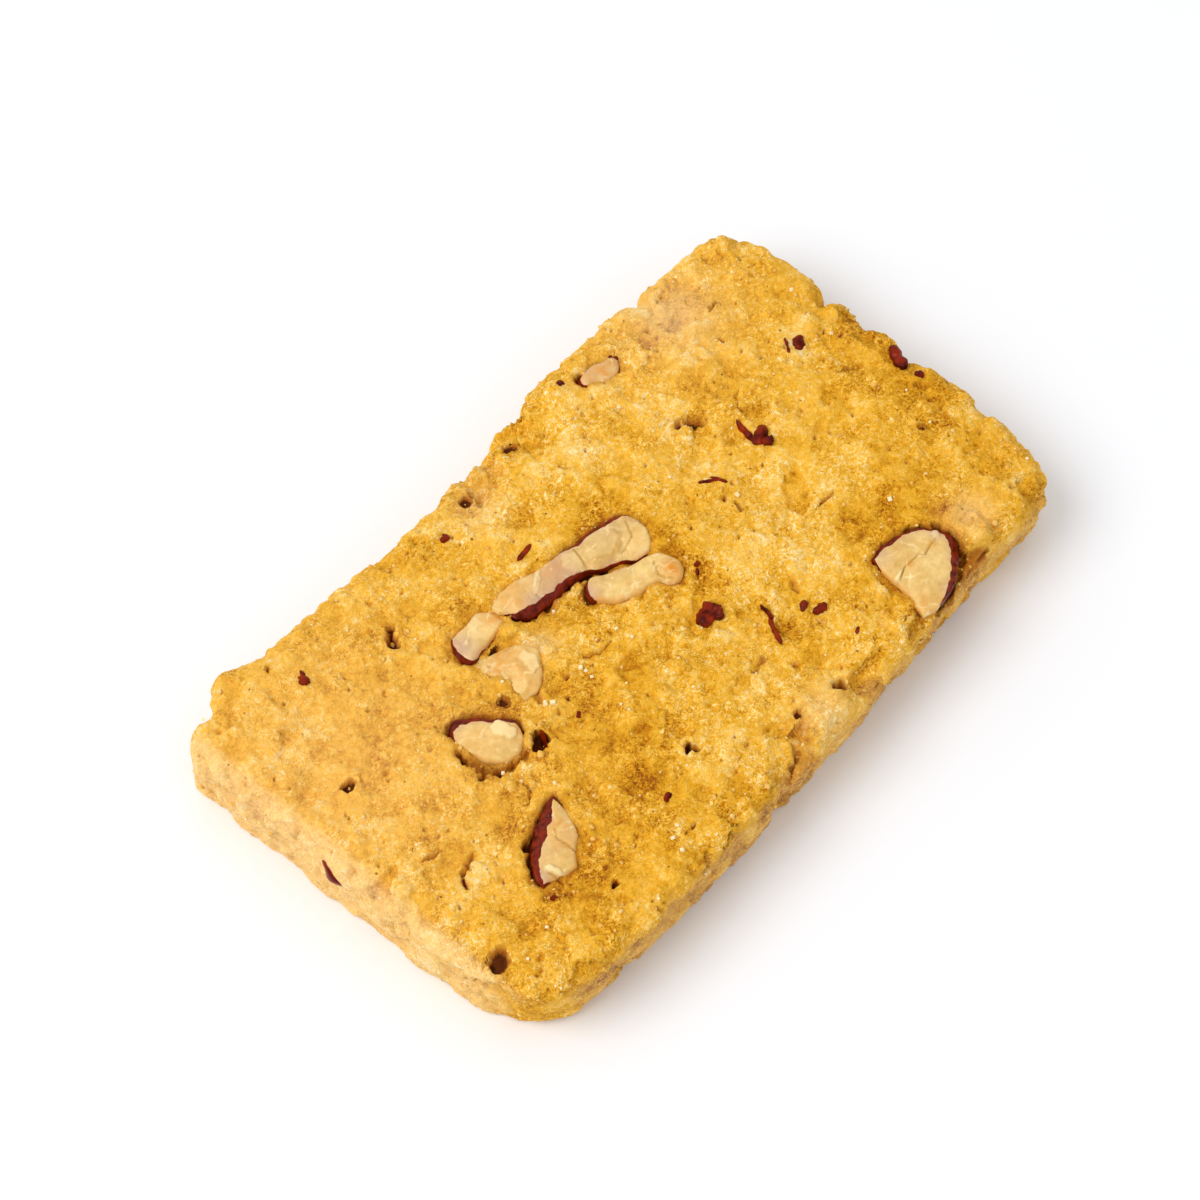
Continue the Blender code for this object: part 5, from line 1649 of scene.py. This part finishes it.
def crumb_at(place, size):
    lumpy = 1 + 0.45 * wander(ball_points, 0.9, tuple(place))
    shape = ball_points * lumpy[:, None] * random.uniform(0.6, 1.0, 3) * size / 2
    return [tuple(p) for p in shape @ random_turn().T + place], ball_faces


# Larger crumbs: place and size
LARGE_CRUMBS = [(25.4, -19.3, 0.8), (26.6, -19.7, 0.7), (-19.8, -12.4, 0.7), (-20.5, -13.2, 0.8),
                (-21.6, -14.3, 0.7), (-17.4, -4.5, 0.9), (-20.2, -4.9, 0.6), (-22.2, 0.0, 0.5),
                (-20.4, -9.2, 0.6), (-19.9, -8.2, 0.5)]
shown = np.flatnonzero(dough_points[:, 2] > LOWEST_CRUMB)
on_dough = random.choice(shown, CRUMBS)
crumb_sizes = CRUMB_SIZES[0] + CRUMB_SIZES[1] * random.random(CRUMBS) ** 3
crumbs = [crumb_at(dough_points[where] - normals[where] * 0.1 * size, size)
          for where, size in zip(on_dough, crumb_sizes)]
crumbs += [crumb_at(np.array((px, py, level(px, py))), size) for px, py, size in LARGE_CRUMBS]
points, faces = joined(crumbs)
crumb_values = {label: np.full(len(points), amount) for label, amount in
                (("peachy", 0.1), ("floury_and_painted_walls", 0.2), ("shade", 0.0), ("coarse", 1.0))}
crumb_values["tone"] = np.repeat(random.uniform(0.55, 0.80, len(crumbs)), len(ball_points))
make_piece("loose_crumbs", points, faces, shortbread, values=crumb_values)

# %% [markdown]
# A grain of sugar is a block with sharp edges that glints. It is drawn milky instead of clear, because
# light is scattered so much in a grain this small that nothing can be seen through it.

# %% Sugar
SUGAR_GRAINS = 70
SUGAR_SIZES = (0.14, 0.24)  # the smallest and the largest of the scattered ones
# Grains that can be told apart in the picture: place and size
SUGAR_PLACES = [(22.4, -11.1, 0.45), (13.8, -0.5, 0.4), (-16.1, -18.4, 0.35), (-15.0, -17.9, 0.3),
                (-16.4, -19.7, 0.35), (-8.4, -1.9, 0.3), (-8.5, -2.7, 0.3), (-3.6, -1.3, 0.3),
                (-3.4, -2.9, 0.3), (-32.5, -16.3, 0.3), (-29.2, -15.6, 0.3), (33.8, 9.7, 0.35),
                (32.6, 4.0, 0.35), (13.9, 13.5, 0.3), (-13.1, -1.3, 0.35), (-20.2, -2.7, 0.4),
                (-5.7, 4.2, 0.35), (-33.8, 19.9, 0.3), (-12.8, -1.9, 0.5), (-13.3, -1.5, 0.4),
                (-18.7, -7.3, 0.3), (-21.1, -8.2, 0.4), (-14.2, 2.7, 0.3), (-8.5, -1.4, 0.35)]


def sugar_at(place, size):
    shape = block_points * random.uniform(0.7, 1.0, 3) * size / 2
    return [tuple(p) for p in shape @ random_turn().T + place], block_faces


def make_sugar():
    m = new_material("sugar")
    shader = add_node(m, "ShaderNodeBsdfPrincipled", None, {
        "Base Color": linear("#FBE6B4"), "Roughness": 0.18, "IOR": 1.54,
        "Subsurface Weight": 0.3, "Subsurface Radius": (1.0, 0.8, 0.5), "Subsurface Scale": 0.3 * MM})
    finish_material(m, shader)
    return m


on_dough = random.choice(shown, SUGAR_GRAINS)
grains_of_sugar = [sugar_at(dough_points[where] + normals[where] * 0.02, random.uniform(*SUGAR_SIZES))
                   for where in on_dough]
grains_of_sugar += [sugar_at((px, py, level(px, py) + 0.12), size) for px, py, size in SUGAR_PLACES]
points, faces = joined(grains_of_sugar)
make_piece("sugar_grains", points, faces, make_sugar(), smooth=False)

# %% [markdown]
# The studio is a white table under a white sky, with one large lamp on the left. The sky fills every
# shadow, and the lamp gives the surface its form. The colours are shown as they are, without a film
# curve, so that a hex value can be compared with the photograph.

# %% Table and light
TABLE_SIZE = 1.8            # metres, so wide that its edge is never seen
SKY_STRENGTH = 0.78
LAMP_PLACE = (-0.46, 0.22, 0.68)
LAMP_SIZE = 0.6
LAMP_POWER = 3.9


def make_table():
    mesh = bpy.data.meshes.new("table")
    half = TABLE_SIZE / 2
    corners = [(-half, -half, 0), (half, -half, 0), (half, half, 0), (-half, half, 0)]
    mesh.from_pydata(corners, [], [(0, 1, 2, 3)])
    m = new_material("white_paper")
    shader = add_node(m, "ShaderNodeBsdfPrincipled", None, {
        "Base Color": linear("#F2F4F8"), "Roughness": 0.9, "Specular IOR Level": 0.0})
    finish_material(m, shader)
    mesh.materials.append(m)
    table = bpy.data.objects.new("table", mesh)
    bpy.context.scene.collection.objects.link(table)
    return table


def add_lamp(name, place, size, power, colour):
    data = bpy.data.lights.new(name, "AREA")
    data.shape = "DISK"
    data.size = size
    data.energy = power
    data.color = linear(colour)[:3]
    lamp = bpy.data.objects.new(name, data)
    lamp.location = place
    lamp.rotation_mode = "QUATERNION"
    lamp.rotation_quaternion = (-Vector(place)).to_track_quat("-Z", "Y")
    bpy.context.scene.collection.objects.link(lamp)
    return lamp


make_table()
sky = bpy.data.worlds.new("studio_sky")
sky.use_nodes = True
sky.node_tree.nodes["Background"].inputs["Color"].default_value = (1.0, 1.0, 1.0, 1.0)
sky.node_tree.nodes["Background"].inputs["Strength"].default_value = SKY_STRENGTH
bpy.context.scene.world = sky
add_lamp("window", LAMP_PLACE, LAMP_SIZE, LAMP_POWER, "#FFFDFA")
bpy.context.scene.view_settings.view_transform = "Standard"
print("light: a white sky and one lamp")

# %% [markdown]
# A model is only useful at its real size. Crumbs and flakes may stand a little proud of the solids. Last,
# the scene is brought up to date.

# %% The end
bpy.context.view_layer.update()
